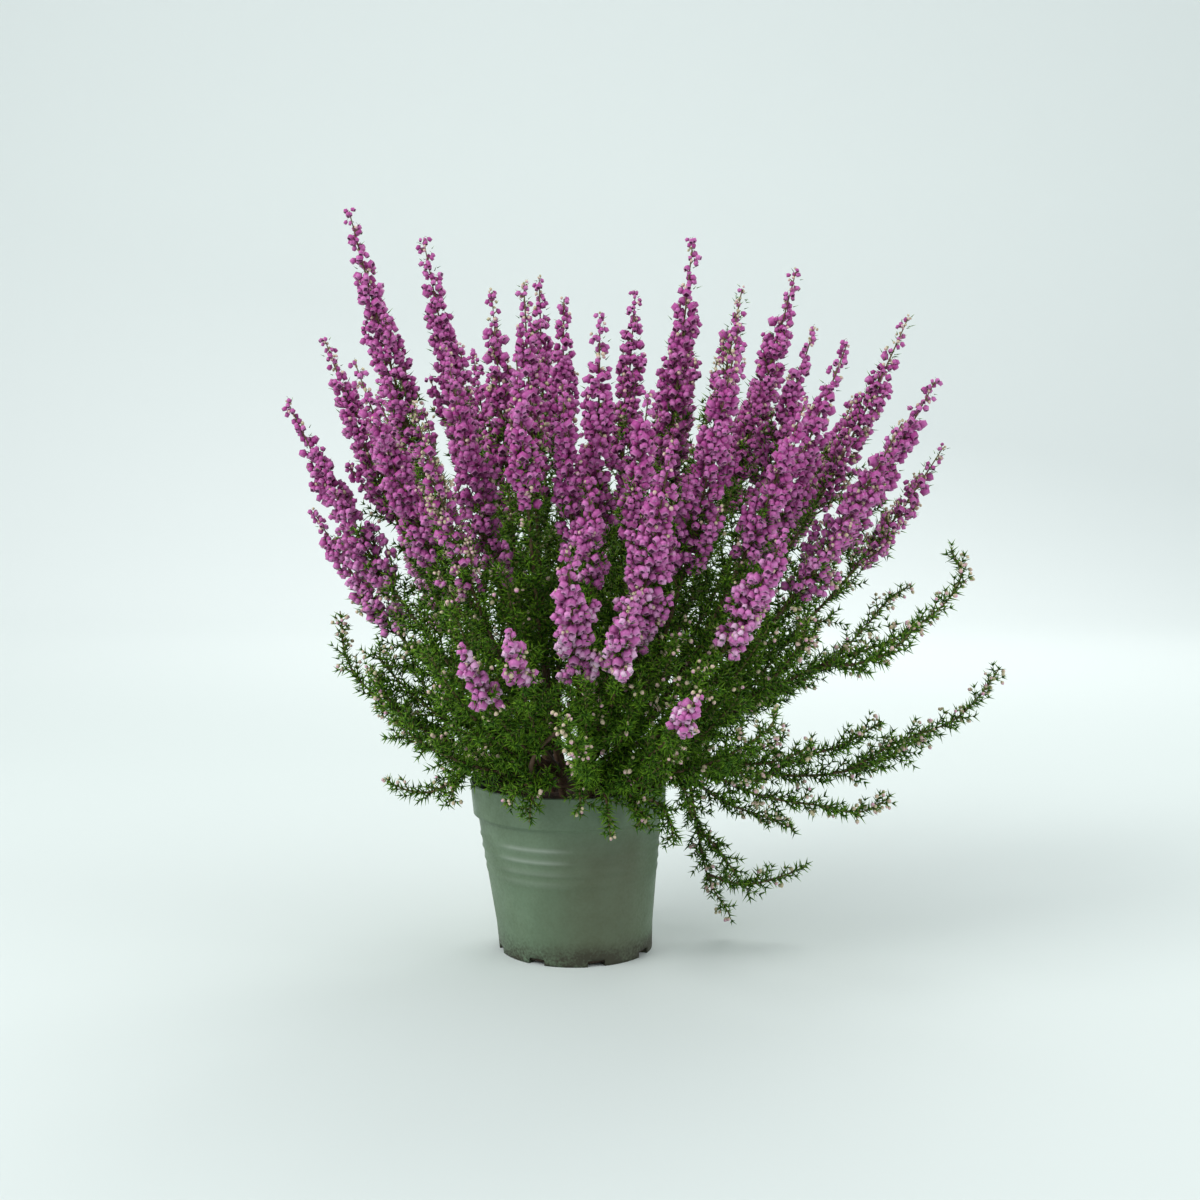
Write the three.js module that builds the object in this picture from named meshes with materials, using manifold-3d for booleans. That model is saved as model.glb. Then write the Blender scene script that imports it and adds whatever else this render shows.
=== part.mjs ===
// A cape heath in its plastic nursery pot, in millimetres, +Z up, with the origin at the centre of the pot's foot.
// Seven woody stems and five trailing sprays stand in holes in the soil. Their leafy shoots carry whorls of
// needles, and forty-six of them end in a spire of small bells. Each spire is a solid of its own on its shoot.
import * as THREE from "three";
import { mergeVertices } from "three/addons/utils/BufferGeometryUtils.js";
import Module from "manifold-3d";

const wasm = await Module();
wasm.setup();

// Pot and soil sizes
const RIM_RADIUS = 52.5;
const POT_HEIGHT = 90;
const FOOT_RADIUS = 41;
const WALL = 1.2;
const POT_LEAN = -4; // how far the soft rim stands off the foot's centre, along X
const FOOT_TOP = 14; // the foot is nearly upright up to here
const FOOT_FLARE = 0.8;
const COLLAR_DROP = 17;
const COLLAR_STEP = 2.3;
const COLLAR_FLARE = 1.3;
const RIB_HEIGHTS = [62, 56, 50, 44];
const RIB_PROUD = 0.5;
const RIB_FOOT = 1.4;
const DRAIN_COUNT = 8;
const DRAIN_WIDTH = 9;
const DRAIN_HEIGHT = 3; // above the plane that the pot stands on
const DRAIN_DEPTH = 9;
const ROUND_SIDES = 24;
const SOIL_TOP = 82;
const SOIL_MOUND = 2.5; // how much higher the soil is in the middle
const GAP = 0.3;
const SOIL_GAP = 0.4; // between the soil and the pot's wall

// Plant sizes
const CROWN = [4, 0];
const STEM_COUNT = 7;
const STEM_RING = 17;
const ROOT_DEPTH = 14;
const GROUND_RISE = 3; // from the soil's level at the wall to where a stem leaves it
const STEM_RISE = 34;
const STEM_LEAN = 7;
const STEM_RADIUS = 2.1;
const SHOOT_RADIUS = 1.1;
const NEEDLE = 5.2;
const NEEDLE_PITCH = 28;
const NEEDLE_BASE = 1.8;
const NEEDLE_LEAST = 1.8; // a whorl with less room than this is left out
const LEAST_GIRTH = 2.6; // of a spire that is pressed by its neighbours

// How far out along a shoot its needles begin, as a share of its length
const SPIRE_SHOOT_BARE = 0.68;
const LEAFY_SHOOT_BARE = 0.25;
const SPRAY_BARE = 0.12;

// Shoots without a spire: how many each stem bears, how high on it they leave, and between which angles above the
// horizontal and which lengths they are drawn
const LEAFY_SHOOTS = 5;
const LEAFY_TRIES = 240;
const LEAFY_START = 0.35;
const LEAFY_FAN = 0.8; // the share of the stem's sector that they fan out over
const LEAFY_CLIMB = [24, 88];
const LEAFY_LENGTH = [78, 108];
const LEAFY_APART = 9; // least distance between two shoots of one stem, away from it
const CLEAR = 0.7; // least room between the reaches of two neighbours
const SEED = 7;

// Each spire: where its tip stands (x, y, z), its length and its greatest radius
const SPIRES = [
  [-2, -124, 222, 78, 18],
  [46, -112, 269, 110, 17],
  [26, -126, 198, 46, 14],
  [-28, -126, 184, 34, 10],
  [-50, -118, 176, 40, 12],
  [8, -96, 251, 52, 10],
  [99, -106, 228, 68, 16],
  [-5, -80, 297, 88, 14],
  [-26, -92, 308, 72, 10],
  [-24, -58, 346, 104, 12],
  [13, -66, 330, 110, 15],
  [36, -88, 293, 70, 13],
  [79, -78, 324, 124, 17],
  [135, -48, 318, 118, 15],
  [160, -64, 279, 100, 14],
  [112, -76, 291, 86, 12],
  [-62, -64, 316, 114, 15],
  [-107, -54, 308, 106, 13],
  [-74, -96, 287, 98, 13],
  [-42, -22, 346, 92, 12],
  [60, -22, 371, 124, 14],
  [84, -36, 346, 76, 11],
  [-6, 14, 346, 92, 13],
  [-118, 6, 390, 132, 14],
  [-84, 50, 381, 122, 14],
  [-137, 40, 325, 104, 14],
  [-151, 2, 291, 112, 13],
  [-142, 22, 233, 80, 12],
  [120, 42, 363, 116, 13],
  [124, -6, 328, 84, 12],
  [180, 34, 337, 112, 13],
  [186, -12, 301, 98, 13],
  [201, 38, 267, 80, 12],
  [33, 74, 354, 104, 14],
  [68, 112, 348, 100, 14],
  [-22, 92, 365, 104, 13],
  [-62, 112, 324, 102, 14],
  [-116, 96, 298, 100, 14],
  [112, 104, 326, 104, 14],
  [160, 86, 297, 100, 14],
  [-58, 144, 261, 88, 16],
  [6, 150, 289, 94, 16],
  [70, 156, 269, 92, 16],
  [126, 136, 247, 88, 16],
  [-110, 128, 230, 80, 15],
  [58, -126, 155, 30, 9],
];

// The trailing sprays: where each stands in the soil, and the routes of its branches. The first point of the first
// route is the top of the woody post, and other routes start there or on an earlier route.
const SPRAYS = {
  spray_right_high: {
    root: [37, -17],
    routes: [
      [[37, -17, 98], [80, -28, 130], [126, -34, 156], [161, -36, 169], [188, -36, 188], [196, -36, 204], [190, -37, 214]],
      [[37, -17, 98], [84, 10, 122], [124, 32, 138], [158, 44, 164], [172, 48, 180], [186, 50, 190]],
      [[80, -28, 130], [98, -44, 148], [112, -52, 168], [118, -54, 184]],
      [[126, -34, 156], [142, -46, 158], [158, -54, 166], [170, -56, 178]],
      [[84, 10, 122], [104, 4, 142], [120, 0, 160], [130, -2, 176]],
    ],
  },
  spray_right_low: {
    root: [34, 4],
    routes: [
      [[34, 4, 98], [64, 6, 98], [102, 4, 92], [143, 2, 94], [170, 2, 109], [202, 2, 122], [217, 2, 137], [225, 2, 149]],
      [[34, 4, 98], [66, -12, 97], [96, -22, 86], [127, -24, 81], [148, -22, 77], [164, -20, 84]],
      [[102, 4, 92], [122, -8, 104], [142, -14, 112], [160, -16, 124]],
      [[143, 2, 94], [162, 14, 96], [180, 20, 104], [194, 22, 112]],
      [[66, -12, 97], [84, -32, 104], [102, -44, 108], [118, -50, 116]],
    ],
  },
  spray_right_hang: {
    root: [28, 24],
    routes: [
      [[28, 24, 98], [48, 28, 99], [60, 23, 88], [66, 18, 60], [73, 16, 30], [84, 16, 12]],
      [[60, 23, 88], [82, 26, 72], [104, 24, 64], [120, 22, 58]],
      [[72, 16, 34], [90, 18, 28], [108, 18, 31], [126, 18, 38]],
      [[66, 18, 60], [78, 12, 48], [88, 8, 34]],
      [[48, 28, 99], [74, 44, 92], [98, 52, 94], [118, 54, 104]],
    ],
  },
  spray_left: {
    root: [-39, 9],
    routes: [
      [[-39, 9, 96], [-60, 14, 104], [-81, 18, 114], [-105, 20, 128], [-124, 22, 150], [-128, 22, 178]],
      [[-39, 9, 96], [-56, 0, 98], [-73, -4, 85], [-86, -4, 84], [-100, -6, 90]],
      [[-60, 14, 104], [-78, 30, 102], [-98, 38, 106]],
      [[-81, 18, 114], [-96, 8, 128], [-108, 2, 144]],
    ],
  },
  spray_front: {
    root: [6, -38],
    routes: [
      [[6, -38, 95], [-10, -46, 96], [-21, -53, 104], [-19, -60, 115], [-4, -66, 131], [13, -76, 150], [22, -86, 168]],
      [[6, -38, 95], [16, -50, 99], [28, -62, 94], [38, -66, 78]],
      [[-10, -46, 96], [-24, -58, 99], [-34, -66, 90]],
      [[6, -38, 95], [10, -54, 101], [6, -84, 112], [2, -112, 128], [-4, -128, 142]],
      [[10, -54, 101], [32, -78, 106], [50, -92, 120]],
    ],
  },
};

// A repeatable draw from 0 to 1 for any two whole numbers
function draw(a, b) {
  const wave = Math.sin(a * 12.9898 + b * 78.233 + SEED) * 43758.5453;
  return wave - Math.floor(wave);
}

const point = ([x, y, z]) => new THREE.Vector3(x, y, z);

// Solids and meshes

function solidOf(geometry) {
  const bare = geometry.clone();
  bare.deleteAttribute("normal");
  bare.deleteAttribute("uv");
  const merged = mergeVertices(bare, 1e-4);
  return new wasm.Manifold(
    new wasm.Mesh({
      numProp: 3,
      vertProperties: merged.attributes.position.array,
      triVerts: new Uint32Array(merged.index.array),
    }),
  );
}

function geometryOf(solid) {
  const mesh = solid.getMesh();
  const geometry = new THREE.BufferGeometry();
  geometry.setAttribute("position", new THREE.BufferAttribute(new Float32Array(mesh.vertProperties), 3));
  geometry.setIndex(new THREE.BufferAttribute(mesh.triVerts, 1));
  geometry.computeVertexNormals();
  return geometry;
}

// The positions and cross directions along a curve, turned as little as possible from one place to the next
function framesAlong(curve, shares) {
  const frames = [];
  let across = null;
  for (const share of shares) {
    const along = curve.getTangentAt(share);
    if (!across) across = Math.abs(along.z) < 0.9 ? new THREE.Vector3(0, 0, 1) : new THREE.Vector3(1, 0, 0);
    across = across.clone().addScaledVector(along, -across.dot(along)).normalize();
    const side = new THREE.Vector3().crossVectors(along, across);
    frames.push({ at: curve.getPointAt(share), along, across, side });
  }
  return frames;
}

// One ring of points round a frame. radii gives a radius for each point, and shifts moves points along the curve.
function ring(frame, radii, turn = 0, shifts = null) {
  return radii.map((radius, i) => {
    const angle = turn + (2 * Math.PI * i) / radii.length;
    const spot = frame.at.clone();
    spot.addScaledVector(frame.across, radius * Math.cos(angle));
    spot.addScaledVector(frame.side, radius * Math.sin(angle));
    if (shifts) spot.addScaledVector(frame.along, shifts[i]);
    return spot;
  });
}

// The triangles between two rings of equal length. Every second square is cut the other way, so that
// alternate points stand up as four-sided points.
function equalBand(low, high, count, phase) {
  const faces = [];
  for (let i = 0; i < count; i += 1) {
    const next = (i + 1) % count;
    if ((i + phase) % 2 === 0) {
      faces.push([low + i, low + next, high + i], [low + next, high + next, high + i]);
    } else {
      faces.push([low + i, low + next, high + next], [low + i, high + next, high + i]);
    }
  }
  return faces;
}

// The triangles between two rings, all squares cut the same way
function plainBand(low, high, count) {
  const faces = [];
  for (let i = 0; i < count; i += 1) {
    const next = (i + 1) % count;
    faces.push([low + i, low + next, high + i], [low + next, high + next, high + i]);
  }
  return faces;
}

// The triangles between two rings where each square is drawn out to a point, the first of them numbered first
function pointedBand(low, high, count, first) {
  const faces = [];
  for (let i = 0; i < count; i += 1) {
    const next = (i + 1) % count;
    const corners = [low + i, low + next, high + next, high + i];
    corners.forEach((corner, k) => faces.push([corner, corners[(k + 1) % 4], first + i]));
  }
  return faces;
}

// Joins rings of equal length, from foot to tip, into one closed skin. Each band between two rings is "plain",
// a number for the phase of alternating points, or a list of points that its squares are drawn out to.
function skin(rings, bands) {
  const spots = rings.flat();
  const count = rings[0].length;
  const last = (rings.length - 1) * count;
  const faces = [];
  bands.forEach((band, k) => {
    const low = k * count;
    const high = low + count;
    if (Array.isArray(band)) {
      faces.push(...pointedBand(low, high, count, spots.length));
      spots.push(...band);
    } else if (band === "plain") faces.push(...plainBand(low, high, count));
    else faces.push(...equalBand(low, high, count, band));
  });
  for (let i = 1; i + 1 < count; i += 1) faces.push([0, i + 1, i], [last, last + i, last + i + 1]);
  const geometry = new THREE.BufferGeometry();
  geometry.setAttribute("position", new THREE.Float32BufferAttribute(spots.flatMap((p) => p.toArray()), 3));
  geometry.setIndex(faces.flat());
  return geometry;
}

// Shoots: each is a curve with its places along it, in millimetres of length

function shootCurve(from, tip) {
  const chord = tip.clone().sub(from);
  const reach = chord.length();
  const way = chord.clone().normalize();
  const outward = new THREE.Vector3(way.x, way.y, 0);
  const leave = way.clone().addScaledVector(outward, 0.45);
  leave.z -= 0.3 * outward.length();
  const arrive = way.clone().addScaledVector(outward, -0.2);
  arrive.z += 0.35 * outward.length();
  return new THREE.CubicBezierCurve3(
    from,
    from.clone().addScaledVector(leave.normalize(), reach * 0.34),
    tip.clone().addScaledVector(arrive.normalize(), -reach * 0.34),
    tip,
  );
}

const routeCurve = (spots) => new THREE.CatmullRomCurve3(spots, false, "centripetal");

// The places along a spire's length where its rings of bells stand
function bellRings(length, radius) {
  const count = Math.max(4, Math.round(length / (1.13 * radius)));
  return Array.from({ length: count }, (_, i) => (i + 0.5) / count);
}

// A spire is widest at a third of its height, drawn in below, and tapers to a blunt tip
function spireShape(share) {
  const foot = 0.72 + 0.28 * Math.sin(Math.min(share / 0.3, 1) * (Math.PI / 2));
  const taper = 1 - 0.62 * Math.max(0, (share - 0.3) / 0.7) ** 1.15;
  return foot * taper;
}

// The plan: every shoot and spire with the room it would like to take

const stems = [];
for (let k = 0; k < STEM_COUNT; k += 1) {
  const angle = ((k + 0.5) / STEM_COUNT) * 2 * Math.PI;
  const out = new THREE.Vector3(Math.cos(angle), Math.sin(angle), 0);
  const foot = new THREE.Vector3(CROWN[0], CROWN[1], SOIL_TOP - ROOT_DEPTH).addScaledVector(out, STEM_RING);
  const ground = foot.clone().setZ(SOIL_TOP + GROUND_RISE);
  const top = foot.clone().addScaledVector(out, STEM_LEAN).setZ(SOIL_TOP + STEM_RISE);
  const name = `stem_${k + 1}`;
  stems.push({ name, angle, foot, ground, top, shoots: [], spires: 0 });
}

// The stem whose quarter of the crown a place belongs to
function stemFor(x, y) {
  const angle = (Math.atan2(y - CROWN[1], x - CROWN[0]) + 2 * Math.PI) % (2 * Math.PI);
  return stems[Math.floor((angle / (2 * Math.PI)) * STEM_COUNT) % STEM_COUNT];
}

// Where a shoot leaves its stem: the more it leans, the lower
function leavingPoint(stem, tip) {
  const lean = Math.atan2(Math.hypot(tip.x - stem.top.x, tip.y - stem.top.y), tip.z - stem.ground.z);
  const share = THREE.MathUtils.clamp(1.15 - lean / 1.3, 0.3, 1);
  return stem.ground.clone().lerp(stem.top, share);
}

// Leafy shoots leave low on their stem
function leafyStart(stem) {
  return stem.ground.clone().lerp(stem.top, LEAFY_START);
}

const rods = [];
const spires = [];
for (const [x, y, z, length, radius] of SPIRES) {
  const tip = point([x, y, z]);
  const stem = stemFor(x, y);
  stem.spires += 1;
  const curve = shootCurve(leavingPoint(stem, tip), tip);
  const whole = curve.getLength();
  const name = `spire_${stem.name.slice(5)}_${stem.spires}`;
  const end = whole - length - GAP;
  const shoot = { node: stem.name, curve, whole, bare: SPIRE_SHOOT_BARE, end, own: name, reach: NEEDLE };
  const spire = { node: name, curve, whole, start: whole - length, length, radius, carrier: stem.name };
  stem.shoots.push(shoot);
  spires.push(spire);
  rods.push(shoot);
}

const sprays = Object.entries(SPRAYS).map(([name, { root, routes }]) => {
  const foot = new THREE.Vector3(...root, SOIL_TOP - ROOT_DEPTH);
  const shoots = routes.map((route) => {
    const curve = routeCurve(route.map(point));
    const whole = curve.getLength();
    return { node: name, curve, whole, bare: SPRAY_BARE, end: whole, reach: NEEDLE, pointed: true };
  });
  rods.push(...shoots);
  return { name, foot, ground: foot.clone().setZ(SOIL_TOP + GROUND_RISE), top: point(routes[0][0]), shoots };
});

// The places of a shoot's whorls, and the samples that the room is worked out from
function sampleShoot(shoot) {
  const first = shoot.bare * shoot.end;
  const last = shoot.end - (shoot.pointed ? 2.5 : 8);
  const count = Math.max(2, Math.round((last - first) / NEEDLE_PITCH) + 1);
  shoot.samples = Array.from({ length: count }, (_, i) => first + ((last - first) * i) / (count - 1)).map((s) => {
    return { s, want: shoot.reach, fixed: false };
  });
  for (let s = 0; s < shoot.end; s += 3) shoot.samples.push({ s, want: SHOOT_RADIUS + 0.3, fixed: true });
  for (const sample of shoot.samples) {
    const along = sample.fixed ? sample.s : Math.min(sample.s + 0.35 * shoot.reach, shoot.whole);
    sample.at = shoot.curve.getPointAt(along / shoot.whole);
  }
}
rods.forEach(sampleShoot);
for (const spire of spires) {
  spire.samples = bellRings(spire.length, spire.radius).map((share) => {
    const s = spire.start + share * spire.length;
    return { s, share, at: spire.curve.getPointAt(s / spire.whole), want: spire.radius * spireShape(share) };
  });
}

// Posts and the pot's rim only take room
const posts = [...stems, ...sprays].map(({ name, ground, top }) => {
  const samples = [0, 0.2, 0.4, 0.6, 0.8, 1].map((share) => {
    return { at: ground.clone().lerp(top, share), want: STEM_RADIUS + 0.3, fixed: true };
  });
  return { node: name, samples };
});
const rim = { node: "pot", samples: [] };
for (let i = 0; i < 90; i += 1) {
  const angle = (i / 90) * 2 * Math.PI;
  const [x, y] = [POT_LEAN + (RIM_RADIUS - 1) * Math.cos(angle), (RIM_RADIUS - 1) * Math.sin(angle)];
  for (const z of [POT_HEIGHT - 1.5, POT_HEIGHT - 7]) {
    rim.samples.push({ at: new THREE.Vector3(x, y, z), want: 2.5, fixed: true });
  }
}

// Whether a shoot stays clear of spires, posts, the rim and other shoots, beyond the stretch near its own stem
function isClear(shoot) {
  const reaches = shoot.samples.filter((sample) => sample.fixed && sample.s > 12);
  for (const other of [...rods, ...spires, ...posts, rim]) {
    const sameStem = other.node === shoot.node;
    const isSpire = other.radius > 0;
    for (const near of other.samples) {
      if (sameStem && (near.s ?? 0) < 45) continue;
      const least = isSpire ? 0.75 * near.want + 3 : sameStem ? LEAFY_APART : near.want + 2.5;
      if (reaches.some((sample) => sample.at.distanceTo(near.at) < least)) return false;
    }
  }
  return true;
}

// Leafy shoots fill the bush below and between the spires. Each try is a drawn direction and length in the stem's
// share of the crown, and it grows if its whole line is clear.
for (const stem of stems) {
  let grown = 0;
  for (let j = 0; j < LEAFY_TRIES && grown < LEAFY_SHOOTS; j += 1) {
    const seed = Number(stem.name.slice(5)) * 1000 + j;
    const angle = stem.angle + (LEAFY_FAN * (draw(seed, 1) - 0.5) * 2 * Math.PI) / STEM_COUNT;
    const climb = THREE.MathUtils.lerp(...LEAFY_CLIMB, draw(seed, 2));
    const length = THREE.MathUtils.lerp(...LEAFY_LENGTH, draw(seed, 3)) + 0.6 * climb;
    const slope = Math.tan(THREE.MathUtils.degToRad(climb));
    const way = new THREE.Vector3(Math.cos(angle), Math.sin(angle), slope).normalize();
    const curve = shootCurve(leafyStart(stem), stem.ground.clone().addScaledVector(way, length));
    const whole = curve.getLength();
    const shoot = { node: stem.name, curve, whole, bare: LEAFY_SHOOT_BARE, end: whole, reach: NEEDLE, pointed: true };
    sampleShoot(shoot);
    if (!isClear(shoot)) continue;
    stem.shoots.push(shoot);
    rods.push(shoot);
    grown += 1;
  }
}

// Neighbours in different nodes share the distance between them, each in proportion to what it would like
const takers = [...rods, ...spires, ...posts, rim];
for (const one of [...rods, ...spires]) {
  for (const sample of one.samples) {
    if (sample.fixed) continue;
    sample.room = sample.want;
    for (const other of takers) {
      if (other === one || other.node === one.node || other.own === one.node || one.own === other.node) continue;
      for (const near of other.samples) {
        const apart = sample.at.distanceTo(near.at) - CLEAR;
        if (apart > sample.want + near.want) continue;
        const share = near.fixed ? apart - near.want : (apart * sample.want) / (sample.want + near.want);
        sample.room = Math.min(sample.room, share);
      }
    }
  }
}

// Leafy shoots: a three-sided stem whose sides are drawn out into three needles at each whorl. The stem turns by a
// sixth from one whorl to the next, and the needles with it.

function shootSolid(shoot) {
  const whorls = shoot.samples.filter((one) => !one.fixed && one.room > NEEDLE_LEAST);
  const places = [0, ...whorls.flatMap(({ s }) => [s - NEEDLE_BASE / 2, s + NEEDLE_BASE / 2]), shoot.end];
  const frames = framesAlong(shoot.curve, places.map((s) => Math.min(s / shoot.whole, 1)));
  const rings = frames.map((frame, i) => {
    const core = SHOOT_RADIUS * (1.25 - (0.45 * places[i]) / shoot.whole);
    const radius = i === frames.length - 1 && shoot.pointed ? 0.35 : core;
    return ring(frame, [radius, radius, radius], (Math.floor((i + 1) / 2) * Math.PI) / 3);
  });
  const bands = ["plain"];
  whorls.forEach((whorl, k) => {
    const out = Math.min(whorl.room, shoot.reach);
    const turn = ((k + 2) * Math.PI) / 3;
    bands.push(ring(frames[2 * k + 2], [out, out, out], turn, Array(3).fill(0.55 * out)), "plain");
  });
  return solidOf(skin(rings, bands));
}

// Main stems: a six-sided woody post from its hole in the soil to the fork

function postSolid({ foot, ground, top }) {
  const curve = routeCurve([foot, ground, top]);
  const share = (ground.z - foot.z) / curve.getLength();
  const frames = framesAlong(curve, [0, share, (1 + share) / 2, 1]);
  frames[0].along = frames[1].along = new THREE.Vector3(0, 0, 1);
  const radii = [STEM_RADIUS, STEM_RADIUS, 0.95 * STEM_RADIUS, 0.8 * STEM_RADIUS];
  const rings = frames.map((frame, i) => ring(uprightFrame(frame, i), Array(6).fill(radii[i])));
  return solidOf(skin(rings, ["plain", "plain", "plain"]));
}

// The part of a post in the soil is cut square to Z, so that its hole is a plain upright one
function uprightFrame(frame, i) {
  if (i > 1) return frame;
  return { at: frame.at, along: frame.along, across: new THREE.Vector3(1, 0, 0), side: new THREE.Vector3(0, 1, 0) };
}

function plantSolid(plant) {
  const pieces = [postSolid(plant), ...plant.shoots.map(shootSolid)];
  const whole = pieces.reduce((a, b) => a.add(b));
  const bodies = whole.decompose().sort((a, b) => b.volume() - a.volume());
  return bodies[0];
}

// Spires: rings of points standing alternately out and in, each ring turned half a step from the last, so that the
// surface is covered with drooping bells

function spireSolid(spire) {
  const bells = spire.radius > 15.5 ? 5 : 4;
  const shares = spire.samples.map((sample) => sample.s / spire.whole);
  const frames = framesAlong(spire.curve, [spire.start / spire.whole, ...shares, 1]);
  const pitch = spire.length / spire.samples.length;
  const rings = [ring(frames[0], Array(2 * bells).fill(Math.min(LEAST_GIRTH, spire.samples[0].room * 0.7)))];
  spire.samples.forEach((sample, k) => {
    const out = Math.max(sample.room, LEAST_GIRTH);
    const radii = Array.from({ length: 2 * bells }, (_, i) => ((i + k) % 2 ? 0.66 * out : out));
    const shifts = radii.map((radius) => (radius === out ? -0.3 * pitch : 0.12 * pitch));
    rings.push(ring(frames[k + 1], radii, 0, shifts));
  });
  rings.push(ring(frames.at(-1), Array(2 * bells).fill(0.9)));
  return solidOf(skin(rings, [1, ...spire.samples.map((_, k) => k % 2)]));
}

// Pot: a thin cup with a stepped collar, four low ribs, a straight foot and eight drain notches

function lathe(outline) {
  const geometry = new THREE.LatheGeometry(outline.map(([r, z]) => new THREE.Vector2(r, z)), ROUND_SIDES);
  geometry.rotateX(Math.PI / 2);
  lean(geometry);
  return solidOf(geometry);
}

// Shifts each level along X in proportion to its height above the foot
function lean(geometry) {
  const spots = geometry.attributes.position;
  for (let i = 0; i < spots.count; i += 1) {
    spots.setX(i, spots.getX(i) + POT_LEAN * Math.min(Math.max(spots.getZ(i) / POT_HEIGHT, 0), 1));
  }
}

const COLLAR_FOOT = POT_HEIGHT - COLLAR_DROP;
const BODY_TOP_RADIUS = RIM_RADIUS - COLLAR_FLARE - COLLAR_STEP;

// The pot's outer radius at a height, without ribs
function potRadius(z) {
  if (z <= FOOT_TOP) return FOOT_RADIUS + (FOOT_FLARE * z) / FOOT_TOP;
  if (z < COLLAR_FOOT) {
    const share = (z - FOOT_TOP) / (COLLAR_FOOT - FOOT_TOP);
    return FOOT_RADIUS + FOOT_FLARE + share * (BODY_TOP_RADIUS - FOOT_RADIUS - FOOT_FLARE);
  }
  return RIM_RADIUS - COLLAR_FLARE + (COLLAR_FLARE * (z - COLLAR_FOOT)) / COLLAR_DROP;
}

// The pot's inside, from its floor up, as radius and height
const INSIDE = [
  [FOOT_RADIUS - WALL, WALL],
  [potRadius(FOOT_TOP) - WALL, FOOT_TOP],
  [BODY_TOP_RADIUS - WALL, COLLAR_FOOT - 0.6],
  [potRadius(COLLAR_FOOT) - WALL, COLLAR_FOOT + 1],
  [RIM_RADIUS - WALL - 0.9, POT_HEIGHT],
];

function makePot() {
  const ribs = [...RIB_HEIGHTS].reverse().flatMap((z) => [
    [potRadius(z - RIB_FOOT), z - RIB_FOOT],
    [potRadius(z) + RIB_PROUD, z],
  ]);
  const outline = [
    [0, 0],
    [FOOT_RADIUS, 0],
    [potRadius(FOOT_TOP), FOOT_TOP],
    ...ribs,
    [BODY_TOP_RADIUS, COLLAR_FOOT - 1],
    [potRadius(COLLAR_FOOT), COLLAR_FOOT + 0.6],
    [RIM_RADIUS - 0.9, POT_HEIGHT - 1.6],
    [RIM_RADIUS, POT_HEIGHT - 0.8],
    [RIM_RADIUS - 0.3, POT_HEIGHT],
    ...[...INSIDE].reverse(),
    [0, WALL],
  ];
  let pot = lathe(outline);
  for (let i = 0; i < DRAIN_COUNT; i += 1) {
    const notch = new THREE.BoxGeometry(DRAIN_DEPTH, DRAIN_WIDTH, 2 * DRAIN_HEIGHT);
    notch.translate(FOOT_RADIUS - 1, 0, 0);
    notch.rotateZ(((i + 0.35) / DRAIN_COUNT) * 2 * Math.PI);
    pot = pot.subtract(solidOf(notch));
  }
  return pot;
}

// Soil: fills the pot to below the rim, with a crumbly top and a plain hole for each stem

function soilBump(x, y) {
  return 1.1 * Math.sin(x * 0.21 + 1.3) * Math.cos(y * 0.17) + 0.7 * Math.sin(x * 0.43 - y * 0.39);
}

function makeSoil(posts) {
  const [low, high] = INSIDE.slice(-2);
  const edge = THREE.MathUtils.mapLinear(SOIL_TOP, low[1], high[1], low[0], high[0]) - SOIL_GAP;
  const rings = [1, 0.7, 0.4].map((share) => [edge * share, SOIL_TOP]);
  const outline = [
    [0, WALL + GAP],
    ...INSIDE.slice(0, 4).map(([r, z], i) => [r - SOIL_GAP, z + (i === 1 ? 0 : GAP)]),
    ...rings,
    [0, SOIL_TOP],
  ];
  const geometry = new THREE.LatheGeometry(outline.map(([r, z]) => new THREE.Vector2(r, z)), ROUND_SIDES);
  geometry.rotateX(Math.PI / 2);
  const spots = geometry.attributes.position;
  for (let i = 0; i < spots.count; i += 1) {
    const [x, y] = [spots.getX(i), spots.getY(i)];
    const rise = soilBump(x, y) + SOIL_MOUND * (1 - Math.hypot(x, y) / edge);
    if (spots.getZ(i) > SOIL_TOP - 0.01) spots.setZ(i, SOIL_TOP + rise);
  }
  lean(geometry);
  let soil = solidOf(geometry);
  const holeLength = 2 * ROOT_DEPTH + 12;
  for (const { foot } of posts) {
    const hole = new THREE.CylinderGeometry(STEM_RADIUS + GAP, STEM_RADIUS + GAP, holeLength, 6);
    hole.rotateX(Math.PI / 2);
    hole.rotateZ(Math.PI / 6);
    hole.translate(foot.x, foot.y, foot.z - GAP + holeLength / 2);
    soil = soil.subtract(solidOf(hole));
  }
  return soil;
}

// The plant in its pot, one named mesh for each piece

const MATERIALS = {
  pot: { color: 0x6b8a6a, roughness: 0.55, metalness: 0 },
  soil: { color: 0x2c2119, roughness: 1, metalness: 0 },
  leafy: { color: 0x3f7a2c, roughness: 0.7, metalness: 0 },
  bloom: { color: 0xb64fa6, roughness: 0.6, metalness: 0 },
};

const plant = new THREE.Group();

function addNode(name, solid, material) {
  const mesh = new THREE.Mesh(geometryOf(solid), new THREE.MeshStandardMaterial(MATERIALS[material]));
  mesh.name = name;
  plant.add(mesh);
}

addNode("pot", makePot(), "pot");
addNode("soil", makeSoil([...stems, ...sprays]), "soil");
for (const one of [...stems, ...sprays]) addNode(one.name, plantSolid(one), "leafy");
for (const spire of spires) addNode(spire.node, spireSolid(spire), "bloom");

export default plant;
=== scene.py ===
"""A potted cape heath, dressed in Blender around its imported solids.

Every spire of bells, leafy stem, trailing spray, the soil and the pot are surfaces worked out with numpy.
Spires take their line and their girth from the solids. Stems and sprays repeat the rule that the solids were
grown by.
"""
import math

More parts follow.
